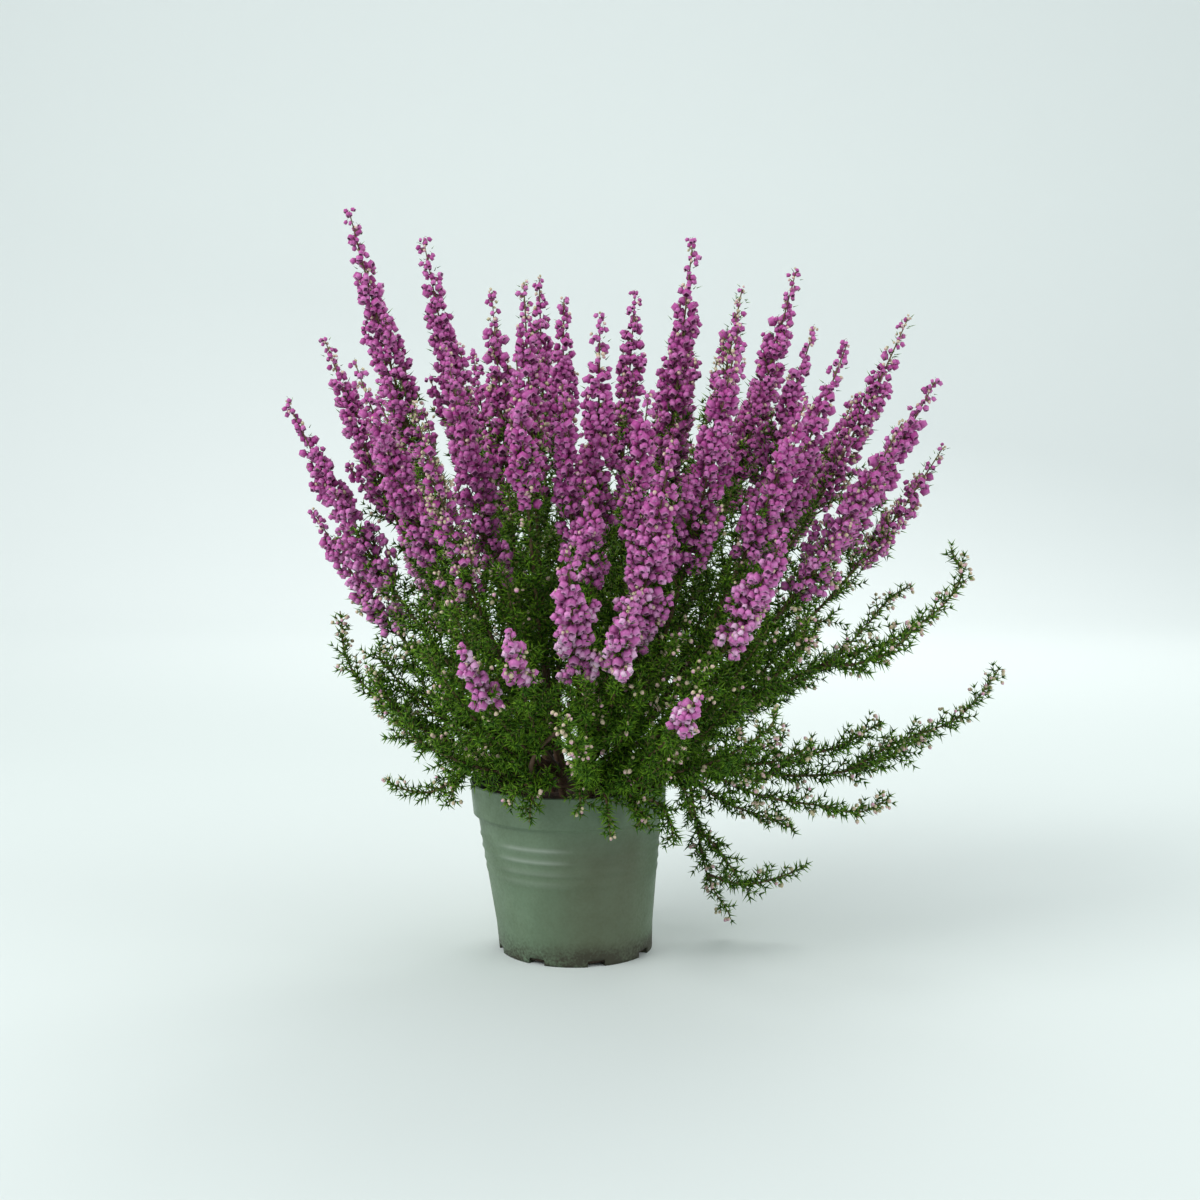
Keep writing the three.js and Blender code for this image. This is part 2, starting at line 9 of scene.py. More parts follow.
import bpy
import numpy as np
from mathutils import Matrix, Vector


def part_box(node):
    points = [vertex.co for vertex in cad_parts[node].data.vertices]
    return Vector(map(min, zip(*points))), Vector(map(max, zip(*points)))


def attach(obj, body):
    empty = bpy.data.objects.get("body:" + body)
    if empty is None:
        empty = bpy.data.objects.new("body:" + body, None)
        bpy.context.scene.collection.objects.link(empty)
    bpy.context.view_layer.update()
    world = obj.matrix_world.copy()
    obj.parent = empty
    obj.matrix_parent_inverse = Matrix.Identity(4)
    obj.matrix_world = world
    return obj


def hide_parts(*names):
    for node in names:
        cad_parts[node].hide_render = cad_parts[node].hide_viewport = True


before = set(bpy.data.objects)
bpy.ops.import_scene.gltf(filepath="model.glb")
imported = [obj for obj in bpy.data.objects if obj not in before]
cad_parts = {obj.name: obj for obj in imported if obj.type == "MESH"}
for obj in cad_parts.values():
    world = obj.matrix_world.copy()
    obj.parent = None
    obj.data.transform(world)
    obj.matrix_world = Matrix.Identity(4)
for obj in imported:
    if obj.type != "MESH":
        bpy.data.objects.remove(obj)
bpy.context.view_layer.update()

bl_info = {
    "name": "Potted Cape Heath",
    "version": (1, 0, 0),
    "blender": (4, 5, 0),
    "location": "View3D > Sidebar > Heath",
    "description": "Dresses the solids of a potted heath with bells, needles, bark, soil and a plastic pot",
    "category": "Object",
}

MM = 0.001
UP = np.array([0.0, 0.0, 1.0])
GOLDEN_ANGLE = math.pi * (3 - math.sqrt(5))

# The pot and the soil, as the solids have them
POT_LEAN = -4 * MM
POT_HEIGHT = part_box("pot")[1][2]
RIM_RADIUS = 52.5 * MM
FOOT_RADIUS = 41 * MM
FOOT_TOP = 14 * MM
FOOT_FLARE = 0.8 * MM
COLLAR_FOOT = POT_HEIGHT - 17 * MM
COLLAR_STEP = 2.3 * MM
COLLAR_FLARE = 1.3 * MM
RIB_HEIGHTS = np.array([62, 56, 50, 44]) * MM
RIB_REACH = 1.0 * MM
DRAIN_COUNT = 8
DRAIN_PHASE = 0.35
DRAIN_WIDTH = 9 * MM
DRAIN_HEIGHT = 3 * MM
DRAIN_DEPTH = 5.5 * MM
SOIL_TOP = 82 * MM
SOIL_LEAN = 0.93 * POT_LEAN
SOIL_GAP = 0.4 * MM

# The round step below the pot's collar, and the roll of its lip
STEP_DROP = 1.2 * MM
STEP_RISE = 1.6 * MM
LIP_RISE = 1.3 * MM
LIP_ROOM = 0.5 * MM
LIP_ROLL = 0.45 * MM

# Marks on the pot: how strongly each rib's crest takes the painted highlight, and the two places between
# which each mark fades in, along X or Z. The highlights are painted on the left of the rib crests, the band
# down the middle and right of the wall is painted shade, and the splashes at the foot are dried peat.
RIB_HIGHLIGHTS = np.array([1.0, 0.9, 0.45, 0.35])
HIGHLIGHTS_FROM_LEFT = (-42 * MM, -30 * MM)
HIGHLIGHTS_FROM_RIGHT = (2 * MM, -16 * MM)
SHADE_BAND_FROM_LEFT = (-26 * MM, 12 * MM)
SHADE_BAND_FROM_RIGHT = (48 * MM, 26 * MM)
SHADE_BAND_FROM_TOP = (82 * MM, 55 * MM)
SPLASHES_FROM_TOP = (16 * MM, 0)

# The plant's plan, as the solids have it
CROWN = np.array([4, 0, 0]) * MM
STEM_COUNT = 7
STEM_RING = 17 * MM
STEM_SPREAD = 7 * MM
STEM_RISE = 34 * MM
STEM_RADIUS = 2.1 * MM
ROOT_DEPTH = 14 * MM
GROUND_RISE = 3 * MM
LEAFY_START = 0.35

# How lines and tips are read from the solids
END_DEPTH = 1.0 * MM
GIRTH_BUMP = 0.14
TIP_CORNERS = 3
TIP_POINTS_APART = 0.75 * MM
TIP_FROM_STEM = 55 * MM

# Each kind of shoot: the radius of its foot, and how far out its needles begin
SPIRE_SHOOT_RADIUS, SPIRE_SHOOT_BARE = 1.3 * MM, 0.35
LEAFY_SHOOT_RADIUS, LEAFY_SHOOT_BARE = 1.15 * MM, 0.16
SPRAY_RADIUS, SPRAY_BARE = 1.05 * MM, 0.08
WOODY_LOOP_RADIUS = 1.6 * MM

# The room that foliage leaves free at the pot's rim and round spires
RIM_DROPS = (1.5 * MM, 7 * MM)
RIM_REACH = 1.5 * MM
CLEAR = 0.7 * MM

# Foliage: its needles and twigs, and the share of the outer twigs that bear buds
PLUMP = 1.3
NEEDLES_IN_WHORL = 4
WHORLS_ON_TWIG = 13
LEAST_TWIG = 5 * MM
LEAST_FORK = 4.5 * MM
TWIG_RADII = np.array([0.45, 0.34]) * MM
BUDS_ON_TWIG = 3
BUDDING_LENGTH = 80 * MM
BUSH_HABIT = {"buds": 0.25, "forks": 2}
SPRAY_HABIT = {"buds": 0.8, "forks": 1}

# A spire: the share of its girth that the main spike fills, its side spikes, and their clusters of bells
MAIN_SHARE = 0.78
SPIKE_SPACING = 15 * MM
SPIKE_GIRTH = 5.2 * MM
MAIN_AXIS_RADIUS = 0.9 * MM
SIDE_AXIS_RADIUS = 0.55 * MM
AXIS_TIP_RADIUS = 0.3 * MM
AXIS_TIP_GAP = 1.5 * MM
BUNCH = 8.5 * MM
LEAST_CLUSTERS = 4
TIP_CLUSTERS = 5
TIP_GAP = 1.2 * MM
LEAST_GIRTH = 5.5 * MM
CLUSTER_SPREAD = 1.3 * MM
CLUSTER_LIFT = 1.0 * MM
CLUSTER_DEPTH = 3.4 * MM
SPIRE_LEAF_SPACING = 5.5 * MM

# A bell's run at the back of its stalk and deep in its throat
STALK_RUN = -0.2
THROAT_RUN = 1.4

# Bells are pale up to a height and deepen above it, and the palest are faded
PALE_BELOW = 170 * MM
PALE_FADE = 100 * MM
LEAST_PALE = 0.15
FADING_TINT = 0.72

# Colours that go with the ones that a user sets
CALYX = (0.2, 0.07, 0.05)
BUD_FOOT = (0.2, 0.26, 0.07)
BUD_CALYX = (0.22, 0.12, 0.08)
YOUNG_TWIG = (0.2, 0.24, 0.05)
GROWN_TWIG = (0.14, 0.085, 0.04)
TWIG_SHADE = (0.3, 0.2, 0.14)
DRY_NEEDLE = (0.16, 0.09, 0.04)

# The trailing sprays, in millimetres: where each stands in the soil, and the routes of its branches
SPRAYS = {
    "spray_right_high": ((37, -17), [
        [(37, -17, 98), (80, -28, 130), (126, -34, 156), (161, -36, 169), (188, -36, 188), (196, -36, 204),
         (190, -37, 214)],
        [(37, -17, 98), (84, 10, 122), (124, 32, 138), (158, 44, 164), (172, 48, 180), (186, 50, 190)],
        [(80, -28, 130), (98, -44, 148), (112, -52, 168), (118, -54, 184)],
        [(126, -34, 156), (142, -46, 158), (158, -54, 166), (170, -56, 178)],
        [(84, 10, 122), (104, 4, 142), (120, 0, 160), (130, -2, 176)],
    ]),
    "spray_right_low": ((34, 4), [
        [(34, 4, 98), (64, 6, 98), (102, 4, 92), (143, 2, 94), (170, 2, 109), (202, 2, 122), (217, 2, 137),
         (225, 2, 149)],
        [(34, 4, 98), (66, -12, 97), (96, -22, 86), (127, -24, 81), (148, -22, 77), (164, -20, 84)],
        [(102, 4, 92), (122, -8, 104), (142, -14, 112), (160, -16, 124)],
        [(143, 2, 94), (162, 14, 96), (180, 20, 104), (194, 22, 112)],
        [(66, -12, 97), (84, -32, 104), (102, -44, 108), (118, -50, 116)],
    ]),
    "spray_right_hang": ((28, 24), [
        [(28, 24, 98), (48, 28, 99), (60, 23, 88), (66, 18, 60), (73, 16, 30), (84, 16, 12)],
        [(60, 23, 88), (82, 26, 72), (104, 24, 64), (120, 22, 58)],
        [(72, 16, 34), (90, 18, 28), (108, 18, 31), (126, 18, 38)],
        [(66, 18, 60), (78, 12, 48), (88, 8, 34)],
        [(48, 28, 99), (74, 44, 92), (98, 52, 94), (118, 54, 104)],
    ]),
    "spray_left": ((-39, 9), [
        [(-39, 9, 96), (-60, 14, 104), (-81, 18, 114), (-105, 20, 128), (-124, 22, 150), (-128, 22, 178)],
        [(-39, 9, 96), (-56, 0, 98), (-73, -4, 85), (-86, -4, 84), (-100, -6, 90)],
        [(-60, 14, 104), (-78, 30, 102), (-98, 38, 106)],
        [(-81, 18, 114), (-96, 8, 128), (-108, 2, 144)],
    ]),
    "spray_front": ((6, -38), [
        [(6, -38, 95), (-10, -46, 96), (-21, -53, 104), (-19, -60, 115), (-4, -66, 131), (13, -76, 150),
         (22, -86, 168)],
        [(6, -38, 95), (16, -50, 99), (28, -62, 94), (38, -66, 78)],
        [(-10, -46, 96), (-24, -58, 99), (-34, -66, 90)],
        [(6, -38, 95), (10, -54, 101), (6, -84, 112), (2, -112, 128), (-4, -128, 142)],
        [(10, -54, 101), (32, -78, 106), (50, -92, 120)],
    ]),
}
BARE_LOOP = {"spray_front": 0.5}

# Small shoots that hang over the pot's rim, each from a place on its spray
OVERHANGS = {
    "spray_front": [
        [(10, -54, 101), (14, -60, 98), (17, -66, 88), (18, -68, 74)],
        [(16, -50, 99), (24, -58, 99), (31, -64, 90), (33, -66, 79)],
        [(28, -62, 94), (42, -60, 90), (48, -58, 80), (50, -57, 68)],
        [(-10, -46, 96), (-17, -56, 99), (-21, -63, 91), (-22, -66, 82)],
        [(6, -38, 95), (4, -52, 101), (3, -62, 96), (4, -67, 85)],
    ],
    "spray_left": [
        [(-39, 9, 96), (-56, -14, 99), (-62, -24, 92), (-65, -28, 82)],
        [(-39, 9, 96), (-52, -26, 104), (-60, -38, 108), (-70, -46, 120)],
        [(-60, 14, 104), (-84, 2, 118), (-98, -8, 134), (-106, -14, 152)],
    ],
    "spray_right_low": [
        [(34, 4, 98), (50, -22, 99), (57, -30, 90), (60, -33, 76)],
        [(34, 4, 98), (58, -34, 104), (76, -50, 106), (92, -60, 100)],
    ],
}

# Spires that are still mostly in bud, with the share of their bells that are closed, and the share on others
IN_BUD = {"spire_5_7": 0.75, "spire_7_7": 0.55, "spire_1_3": 0.5, "spire_5_4": 0.3, "spire_1_2": 0.3,
          "spire_7_4": 0.2, "spire_4_1": 0.2, "spire_3_7": 0.3}
OPEN_SPIRE = 0.04

# The camera, as the photograph was taken, and the image that it is framed for
CAMERA_PLACE = np.array([13, -864, 264]) * MM
CAMERA_TILT = math.radians(84.85)
FOCAL_PIXELS = 1641
IMAGE_PIXELS = 1200
SENSOR_MM = 36

# The lamps, in metres: where each stands, how wide it is, and its share of the power
LAMPS = {"Main lamp": ((-1.3, -0.8, 1.4), 1.1, 1.0), "Fill lamp": ((1.5, -0.5, 0.9), 1.2, 0.36),
         "Back lamp": ((0.4, 1.2, 1.4), 1.0, 0.5)}
LAMP_AIM = np.array([0, 0, 0.2])

# The floor and the backdrop that it sweeps up into, in metres
STAGE_HALF_WIDTH = 4.0
FLOOR_FRONT = -3.0
SWEEP_START = 1.6
SWEEP_RADIUS = 0.8
BACKDROP_TOP = 3.5
BACKDROP_FADE = (0.5, 1.9)


# Lines through space

def unit(vectors):
    """Vectors scaled to length one."""
    return vectors / np.maximum(np.linalg.norm(vectors, axis=-1, keepdims=True), 1e-12)


class Line:
    """A smooth line kept as many points, with the length run up to each one."""

    def __init__(self, points):
        self.points = points
        steps = np.linalg.norm(np.diff(points, axis=0), axis=1)
        self.runs = np.concatenate([[0.0], np.cumsum(steps)])
        self.length = self.runs[-1]
        level = np.cross(unit(points[-1] - points[0]), UP)
        self.level = unit(level) if np.linalg.norm(level) > 0.05 else np.array([1.0, 0.0, 0.0])

    def at(self, run):
        """The points at the given lengths along the line."""
        return np.column_stack([np.interp(run, self.runs, self.points[:, k]) for k in range(3)])

    def ways(self, run):
        """Three directions at each given length: along the line, level across it, and square to both."""
        step = 0.002 * self.length
        low, high = np.maximum(run - step, 0), np.minimum(run + step, self.length)
        along = unit(self.at(high) - self.at(low))
        level = unit(self.level - along * (along @ self.level)[:, None])
        return along, level, np.cross(along, level)


def bezier(a, b, c, d, steps=160):
    """A cubic Bezier line from a to d, pulled towards b and c."""
    t = np.linspace(0, 1, steps)[:, None]
    return Line((1 - t) ** 3 * a + 3 * (1 - t) ** 2 * t * b + 3 * (1 - t) * t ** 2 * c + t ** 3 * d)


def threaded(points, steps=60):
    """A line through all the points: on each span, a cubic whose end slopes weigh the neighbours by the root
    of their distance."""
    points = np.asarray(points, float)
    whole = np.vstack([2 * points[0] - points[1], points, 2 * points[-1] - points[-2]])
    gaps = np.sqrt(np.linalg.norm(np.diff(whole, axis=0), axis=1))
    t = np.linspace(0, 1, steps)[:, None]
    spans = []
    for i in range(len(points) - 1):
        a, b, c, d = whole[i:i + 4]
        before, here, after = gaps[i:i + 3]
        leave = here * ((b - a) / before - (c - a) / (before + here) + (c - b) / here)
        arrive = here * ((c - b) / here - (d - b) / (here + after) + (d - c) / after)
        spans.append(b + leave * t + (3 * (c - b) - 2 * leave - arrive) * t ** 2
                     + (2 * (b - c) + leave + arrive) * t ** 3)
    return Line(np.vstack([spans[0]] + [span[1:] for span in spans[1:]]))


# The plan of the plant

def solid_points(node):
    """The corners of a node's solid, each once."""
    corners = [vertex.co[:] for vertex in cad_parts[node].data.vertices]
    return np.unique(np.round(corners, 6), axis=0)


class Spire:
    """A spire's line and girth, read from its solid: the line runs through the middle of the solid, and the
    girth is a smooth hull over the points that stand out of it."""

    def __init__(self, node):
        self.node = node
        self.cloud = solid_points(node)
        middle = self.cloud.mean(axis=0)
        way = np.linalg.svd(self.cloud - middle)[2][0]
        way = way if way[2] > 0 else -way
        reach = (self.cloud - middle) @ way
        self.foot = self.cloud[reach < reach.min() + END_DEPTH].mean(axis=0)
        self.tip = self.cloud[reach > reach.max() - END_DEPTH].mean(axis=0)

    def follow(self, line):
        """Takes the shoot's line that the spire crowns, and measures the solid around it."""
        self.line = line
        self.start = line.runs[np.argmin(np.linalg.norm(line.points - self.foot, axis=1))]
        self.length = line.length - self.start
        apart = np.linalg.norm(self.cloud[:, None, :] - line.points[None, :, :], axis=2)
        self.runs = line.runs[apart.argmin(axis=1)]
        self.girths = apart.min(axis=1)
        fine = np.linspace(self.start, line.length, 80)
        self.area = 2 * np.pi * self.girth(fine).mean() * self.length

    def girth(self, run):
        """How far the solid reaches from its line: the tallest of a soft bump over each of its points."""
        width = GIRTH_BUMP * self.length
        bumps = self.girths * np.exp(-(((run[:, None] - self.runs[None, :]) / width) ** 2))
        return bumps.max(axis=1)


class Shoot:
    """A leafy shoot: its line, the lengths between which it bears needles, the radius of its foot, and the
    spire that crowns it, if any."""

    def __init__(self, line, bare, end, radius, crown=None):
        self.line = line
        self.first = bare * end
        self.end = end
        self.radius = radius
        self.crown = crown
        self.own = crown.node if crown else ""


class Stem:
    """A woody post with its shoots, which stands in the soil."""

    def __init__(self, node, foot, top):
        self.node = node
        self.foot = foot
        self.ground = np.array([foot[0], foot[1], SOIL_TOP + GROUND_RISE])
        self.top = top
        self.shoots = []


def shoot_line(start, tip):
    """A shoot leaves its stem leaning outward and turns up towards its tip."""
    reach = np.linalg.norm(tip - start)
    way = (tip - start) / reach
    outward = way * [1, 1, 0]
    lean = np.linalg.norm(outward)
    leave = unit(way + 0.45 * outward - 0.3 * lean * UP)
    arrive = unit(way - 0.2 * outward + 0.35 * lean * UP)
    pull = 0.34 * reach
    return bezier(start, start + pull * leave, tip - pull * arrive, tip)


def leaving_point(stem, tip):
    """The more a shoot leans, the lower it leaves its stem."""
    lean = math.atan2(math.hypot(*(tip - stem.top)[:2]), tip[2] - stem.ground[2])
    share = min(max(1.15 - lean / 1.3, 0.3), 1)
    return stem.ground + share * (stem.top - stem.ground)


def leafy_tips(stem):
    """The tips of a stem's leafy shoots, read from its solid: places far from the stem where three corners
    stand within a fraction of a millimetre."""
    cloud = solid_points(stem.node)
    cloud = cloud[np.linalg.norm(cloud - stem.ground, axis=1) > TIP_FROM_STEM]
    near = np.linalg.norm(cloud[:, None] - cloud[None], axis=2) < TIP_POINTS_APART
    tips = [cloud[row].mean(axis=0) for row in near[near.sum(axis=1) >= TIP_CORNERS]]
    return np.unique(np.round(tips, 5), axis=0) if tips else []


def grow_stems(spires):
    """The stems round the crown, with a shoot for each spire and the leafy shoots that their solids show."""
    stems = []
    for k in range(STEM_COUNT):
        angle = (k + 0.5) / STEM_COUNT * 2 * math.pi
        out = np.array([math.cos(angle), math.sin(angle), 0])
        foot = CROWN + out * STEM_RING + UP * (SOIL_TOP - ROOT_DEPTH)
        stem = Stem(f"stem_{k + 1}", foot, foot + out * STEM_SPREAD + UP * (STEM_RISE + ROOT_DEPTH))
        for spire in [spire for spire in spires if spire.node.startswith(f"spire_{k + 1}_")]:
            spire.follow(shoot_line(leaving_point(stem, spire.tip), spire.tip))
            stem.shoots.append(Shoot(spire.line, SPIRE_SHOOT_BARE, spire.start, SPIRE_SHOOT_RADIUS, spire))
        start = stem.ground + LEAFY_START * (stem.top - stem.ground)
        for tip in leafy_tips(stem):
            line = shoot_line(start, tip)
            stem.shoots.append(Shoot(line, LEAFY_SHOOT_BARE, line.length, LEAFY_SHOOT_RADIUS))
        stems.append(stem)
    return stems


def grow_sprays():
    """The trailing sprays along their routes. A bare loop is the woody foot of a spray's first branch."""
    sprays = []
    for node, ((x, y), routes) in SPRAYS.items():
        spray = Stem(node, np.array([x * MM, y * MM, SOIL_TOP - ROOT_DEPTH]), np.array(routes[0][0]) * MM)
        for k, route in enumerate(routes + OVERHANGS.get(node, [])):
            line = threaded(np.array(route) * MM)
            bare = BARE_LOOP.get(node, SPRAY_BARE) if k == 0 else SPRAY_BARE
            radius = WOODY_LOOP_RADIUS if bare > SPRAY_BARE else SPRAY_RADIUS
            spray.shoots.append(Shoot(line, bare, line.length, radius))
        sprays.append(spray)
    return sprays


class Room:
    """Tells how much room foliage has: samples of the spires and the pot's rim, each with its own reach."""

    def __init__(self, spires):
        self.places, self.reaches, self.owners = [], [], []
        for spire in spires:
            runs = np.linspace(spire.start, spire.line.length, 16)
            self.take(spire.line.at(runs), 0.7 * spire.girth(runs), spire.node)
        turn = turns(90)
        for drop in RIM_DROPS:
            rim = np.column_stack([POT_LEAN + RIM_RADIUS * np.cos(turn), RIM_RADIUS * np.sin(turn),
                                   np.full(len(turn), POT_HEIGHT - drop)])
            self.take(rim, RIM_REACH, "pot")
        self.places = np.vstack(self.places)
        self.reaches = np.concatenate(self.reaches)
        self.owners = np.array(self.owners)

    def take(self, places, reach, owner):
        """Notes places that an owner fills, as far as its reach."""
        self.places.append(places)
        self.reaches.append(np.broadcast_to(reach, len(places)))
        self.owners += [owner] * len(places)

    def around(self, places, own):
        """The free distance from each place to the nearest thing that isn't the shoot's own spire."""
        others = self.owners != own
        apart = np.linalg.norm(places[:, None, :] - self.places[None, others, :], axis=2)
        return (apart - self.reaches[None, others]).min(axis=1) - CLEAR


# Meshes from whole arrays

def add_object(name, data):
    """An object in the scene, at the origin."""
    thing = bpy.data.objects.new(name, data)
    bpy.context.scene.collection.objects.link(thing)
    return thing


class Skin:
    """Gathers the surfaces of one piece, in materials given by name, with values at each point that they
    read: tint is drawn for each bell or needle, and run goes from its foot (0) to its end (1). rng makes the
    piece's own random draws."""

    def __init__(self, materials, rng=None):
        self.materials = materials
        self.rng = rng
        self.count = 0
        self.points, self.faces, self.slots, self.tints, self.runs = [], [], [], [], []

    def add(self, shape, finish, tint=0.5, run=0.0):
        """Adds a shape in a material: its points, and a list of arrays with a row for each face."""
        points, faces = shape
        self.points.append(points)
        self.tints.append(np.broadcast_to(tint, len(points)))
        self.runs.append(np.broadcast_to(run, len(points)))
        for rows in faces:
            self.faces.append(rows + self.count)
            self.slots.append(np.full(len(rows), list(self.materials).index(finish)))
        self.count += len(points)

    def build(self, name, node):
        """Makes the smooth mesh object at the origin, which rides on the body and replaces its node."""
        mesh = bpy.data.meshes.new(name)
        loops = np.concatenate([rows.ravel() for rows in self.faces])
        sides = np.concatenate([np.full(len(rows), rows.shape[1]) for rows in self.faces])
        mesh.vertices.add(self.count)
        mesh.vertices.foreach_set("co", np.vstack(self.points).astype(np.float32).ravel())
        mesh.loops.add(len(loops))
        mesh.loops.foreach_set("vertex_index", loops.astype(np.int32))
        mesh.polygons.add(len(sides))
        starts = np.concatenate([[0], np.cumsum(sides)[:-1]])
        mesh.polygons.foreach_set("loop_start", starts.astype(np.int32))
        mesh.polygons.foreach_set("material_index", np.concatenate(self.slots).astype(np.int32))
        for label, values in (("tint", self.tints), ("run", self.runs)):
            layer = mesh.attributes.new(label, "FLOAT", "POINT")
            layer.data.foreach_set("value", np.concatenate(values).astype(np.float32))
        mesh.update(calc_edges=True)
        mesh.shade_smooth()
        for material in self.materials.values():
            mesh.materials.append(material)
        piece = add_object(name, mesh)
        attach(piece, "root")
        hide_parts(node)
        return piece


def turns(count):
    """Angles that go once round in even steps."""
    return np.arange(count) / count * 2 * np.pi


def grid_faces(rows, columns, wrap=True):
    """The quads of a grid of points stored row by row. With wrap, the last column joins the first."""
    row = np.arange(rows - 1)[:, None] * columns
    column = np.arange(columns if wrap else columns - 1)[None, :]
    after = (column + 1) % columns
    corners = (row + column, row + after, row + columns + after, row + columns + column)
    return np.stack(corners, axis=-1).reshape(-1, 4)


def fan_faces(pole, ring, outward):
    """Triangles from a pole to a ring. outward says that the ring runs anticlockwise seen from outside."""
    after = np.roll(ring, -1)
    middle = np.full(len(ring), pole)
    return np.column_stack([middle, ring, after] if outward else [middle, after, ring])


def capped_faces(rows, sides):
    """The faces of rings of points stored one after another, with a fan to a pole at either end. The two
    poles come after the rings."""
    poles = rows * sides
    first = np.arange(sides)
    return [grid_faces(rows, sides), fan_faces(poles, first, False),
            fan_faces(poles + 1, first + poles - sides, True)]


def closed_lathe(radii, heights, sides, foot, tip):
    """A profile turned round Z: a ring of points for each radius, and a pole at either end. radii may hold
    one row of radii for each ring."""
    turn = turns(sides)
    rows = len(heights)
    radii = np.broadcast_to(np.asarray(radii, float).reshape(rows, -1), (rows, sides))
    levels = np.repeat(np.asarray(heights, float)[:, None], sides, 1)
    rings = np.stack([radii * np.cos(turn), radii * np.sin(turn), levels], axis=-1)
    return np.vstack([rings.reshape(-1, 3), [[0, 0, foot], [0, 0, tip]]]), capped_faces(rows, sides)


def tube(line, runs, radii, sides):
    """A round tube along a line: a ring at each run, closed by a pole at either end."""
    along, level, rise = line.ways(runs)
    out = round_about(level[:, None, :], rise[:, None, :], turns(sides))
    centres = line.at(runs)
    radii = np.broadcast_to(np.asarray(radii).reshape(len(runs), -1), (len(runs), sides))
    rings = centres[:, None, :] + out * radii[:, :, None]
    points = np.vstack([rings.reshape(-1, 3), centres[:1], centres[-1:] + along[-1:] * radii[-1, 0]])
    return points, capped_faces(len(runs), sides)


def repeated(faces, count, step):
    """Faces repeated for a number of copies, with so many points from one copy to the next."""
    steps = np.arange(count)[:, None, None] * step
    return [(rows[None] + steps).reshape(-1, rows.shape[1]) for rows in faces]


def copies(shape, places, axes, sizes):
    """Copies of a shape: each point goes to its place plus its coordinates along the copy's three axes,
    times the copy's three sizes."""
    points, faces = shape
    scaled = points[None, :, :] * np.asarray(sizes).reshape(len(places), 1, -1)
    moved = places[:, None, :] + np.einsum("nvk,nkj->nvj", scaled, axes)
    return moved.reshape(-1, 3), repeated(faces, len(places), len(points))


def axes_from(ways, hints):
    """For each copy, its X, Y and Z axes: Z along its way, X as near to its hint as that allows."""
    ways = unit(ways)
    across = unit(hints - ways * np.sum(hints * ways, axis=1, keepdims=True))
    return np.stack([across, np.cross(ways, across), ways], axis=1)


def lumps(x, y, cell, seed):
    """Smooth random heights from -1 to 1: each corner of a square grid gets a repeatable height, and places
    between the corners are blended."""
    u, v = x / cell, y / cell
    iu, iv = np.floor(u), np.floor(v)
    fu, fv = u - iu, v - iv
    fu, fv = fu * fu * (3 - 2 * fu), fv * fv * (3 - 2 * fv)

    def corner(a, b):
        wave = np.sin(a * 127.1 + b * 311.7 + seed * 74.7) * 43758.5453
        return 2 * (wave - np.floor(wave)) - 1

    low = corner(iu, iv) * (1 - fu) + corner(iu + 1, iv) * fu
    high = corner(iu, iv + 1) * (1 - fu) + corner(iu + 1, iv + 1) * fu
    return low * (1 - fv) + high * fv


# Directions round a line

def round_about(first, second, turn):
    """Directions in the plane of two square directions, at the given angles from the first."""
    return first * np.cos(turn)[..., None] + second * np.sin(turn)[..., None]


def square_to(along):
    """Two directions square to each given one, and to each other."""
    level = unit(np.cross(along, np.where(np.abs(along[..., 2:]) > 0.95, [1.0, 0, 0], UP)))
    return level, np.cross(along, level)


def golden_spiral(level, rise, rng, scatter=0):
    """Directions round a line, each turned from the one before by the golden angle, from a random start.
    scatter says how far they stray from that, in radians."""
    turn = np.arange(len(level)) * GOLDEN_ANGLE + rng.uniform(0, 6.3)
    if scatter:
        turn = turn + rng.normal(0, scatter, len(turn))
    return round_about(level, rise, turn)


# The small shapes that are repeated: unit size, foot at the origin, pointing along Z. Each comes with the run
# of every point, which its material reads.

def turned_shape(radii, heights, sides, tip, last_run):
    """A profile turned round Z from a foot at the origin. The run of a ring is its height, and the tip has
    its own."""
    shape = closed_lathe(radii, heights, sides, 0.0, tip)
    return shape, np.append(np.repeat(heights, sides), [0.0, last_run])


def bell_shape():
    """An urn turned round Z, with four lobes at its mouth, a hollow throat, and a thin stalk behind its
    foot: a three-sided double cone, curved to one side."""
    lobes = np.where(np.arange(8) % 2 == 0, 0.9, 0.62)
    radii = np.vstack([np.ones(8), lobes]) * 0.5
    (points, faces), run = turned_shape(radii, heights=[0.4, 1.0], sides=8, tip=0.7, last_run=THROAT_RUN)
    stalk, stalk_faces = closed_lathe(radii=[[0.05]], heights=[-0.24], sides=3, foot=-0.5, tip=0.03)
    stalk[:, 0] += 0.9 * stalk[:, 2] ** 2
    faces = faces + [rows + len(points) for rows in stalk_faces]
    return (np.vstack([points, stalk]), faces), np.append(run, np.full(len(stalk), STALK_RUN))


def deep_bell_shape():
    """A plainer urn with four sides and no stalk, for the bells that stand deeper in a cluster."""
    return turned_shape(radii=[[0.55], [0.4]], heights=[0.4, 1.0], sides=4, tip=0.75, last_run=THROAT_RUN)


def bud_shape():
    """A closed bud: an egg turned round Z, pinched to a blunt point."""
    return turned_shape(radii=[[0.46], [0.4]], heights=[0.3, 0.72], sides=5, tip=1.0, last_run=1.0)


def needle_shape():
    """A needle leaf: a slim three-sided pyramid, bowed towards its shoot."""
    turn = turns(3)
    foot = np.column_stack([0.5 * np.cos(turn), 0.5 * np.sin(turn), np.zeros(3)])
    faces = [np.array([[0, 2, 1]]), fan_faces(3, np.arange(3), True)]
    return (np.vstack([foot, [[0, 0.7, 1]]]), faces), np.array([0.0, 0.0, 0.0, 1.0])


def crumb_shape():
    """A rough crumb: a six-sided lump with uneven corners."""
    (points, faces), run = turned_shape(radii=[[0.42], [0.45]], heights=[0.25, 0.65], sides=6, tip=1.0,
                                        last_run=1.0)
    rough = 1 + 0.22 * np.sin(np.arange(len(points)) * 2.4)
    return (points * rough[:, None], faces), run


# Dressing of shoots

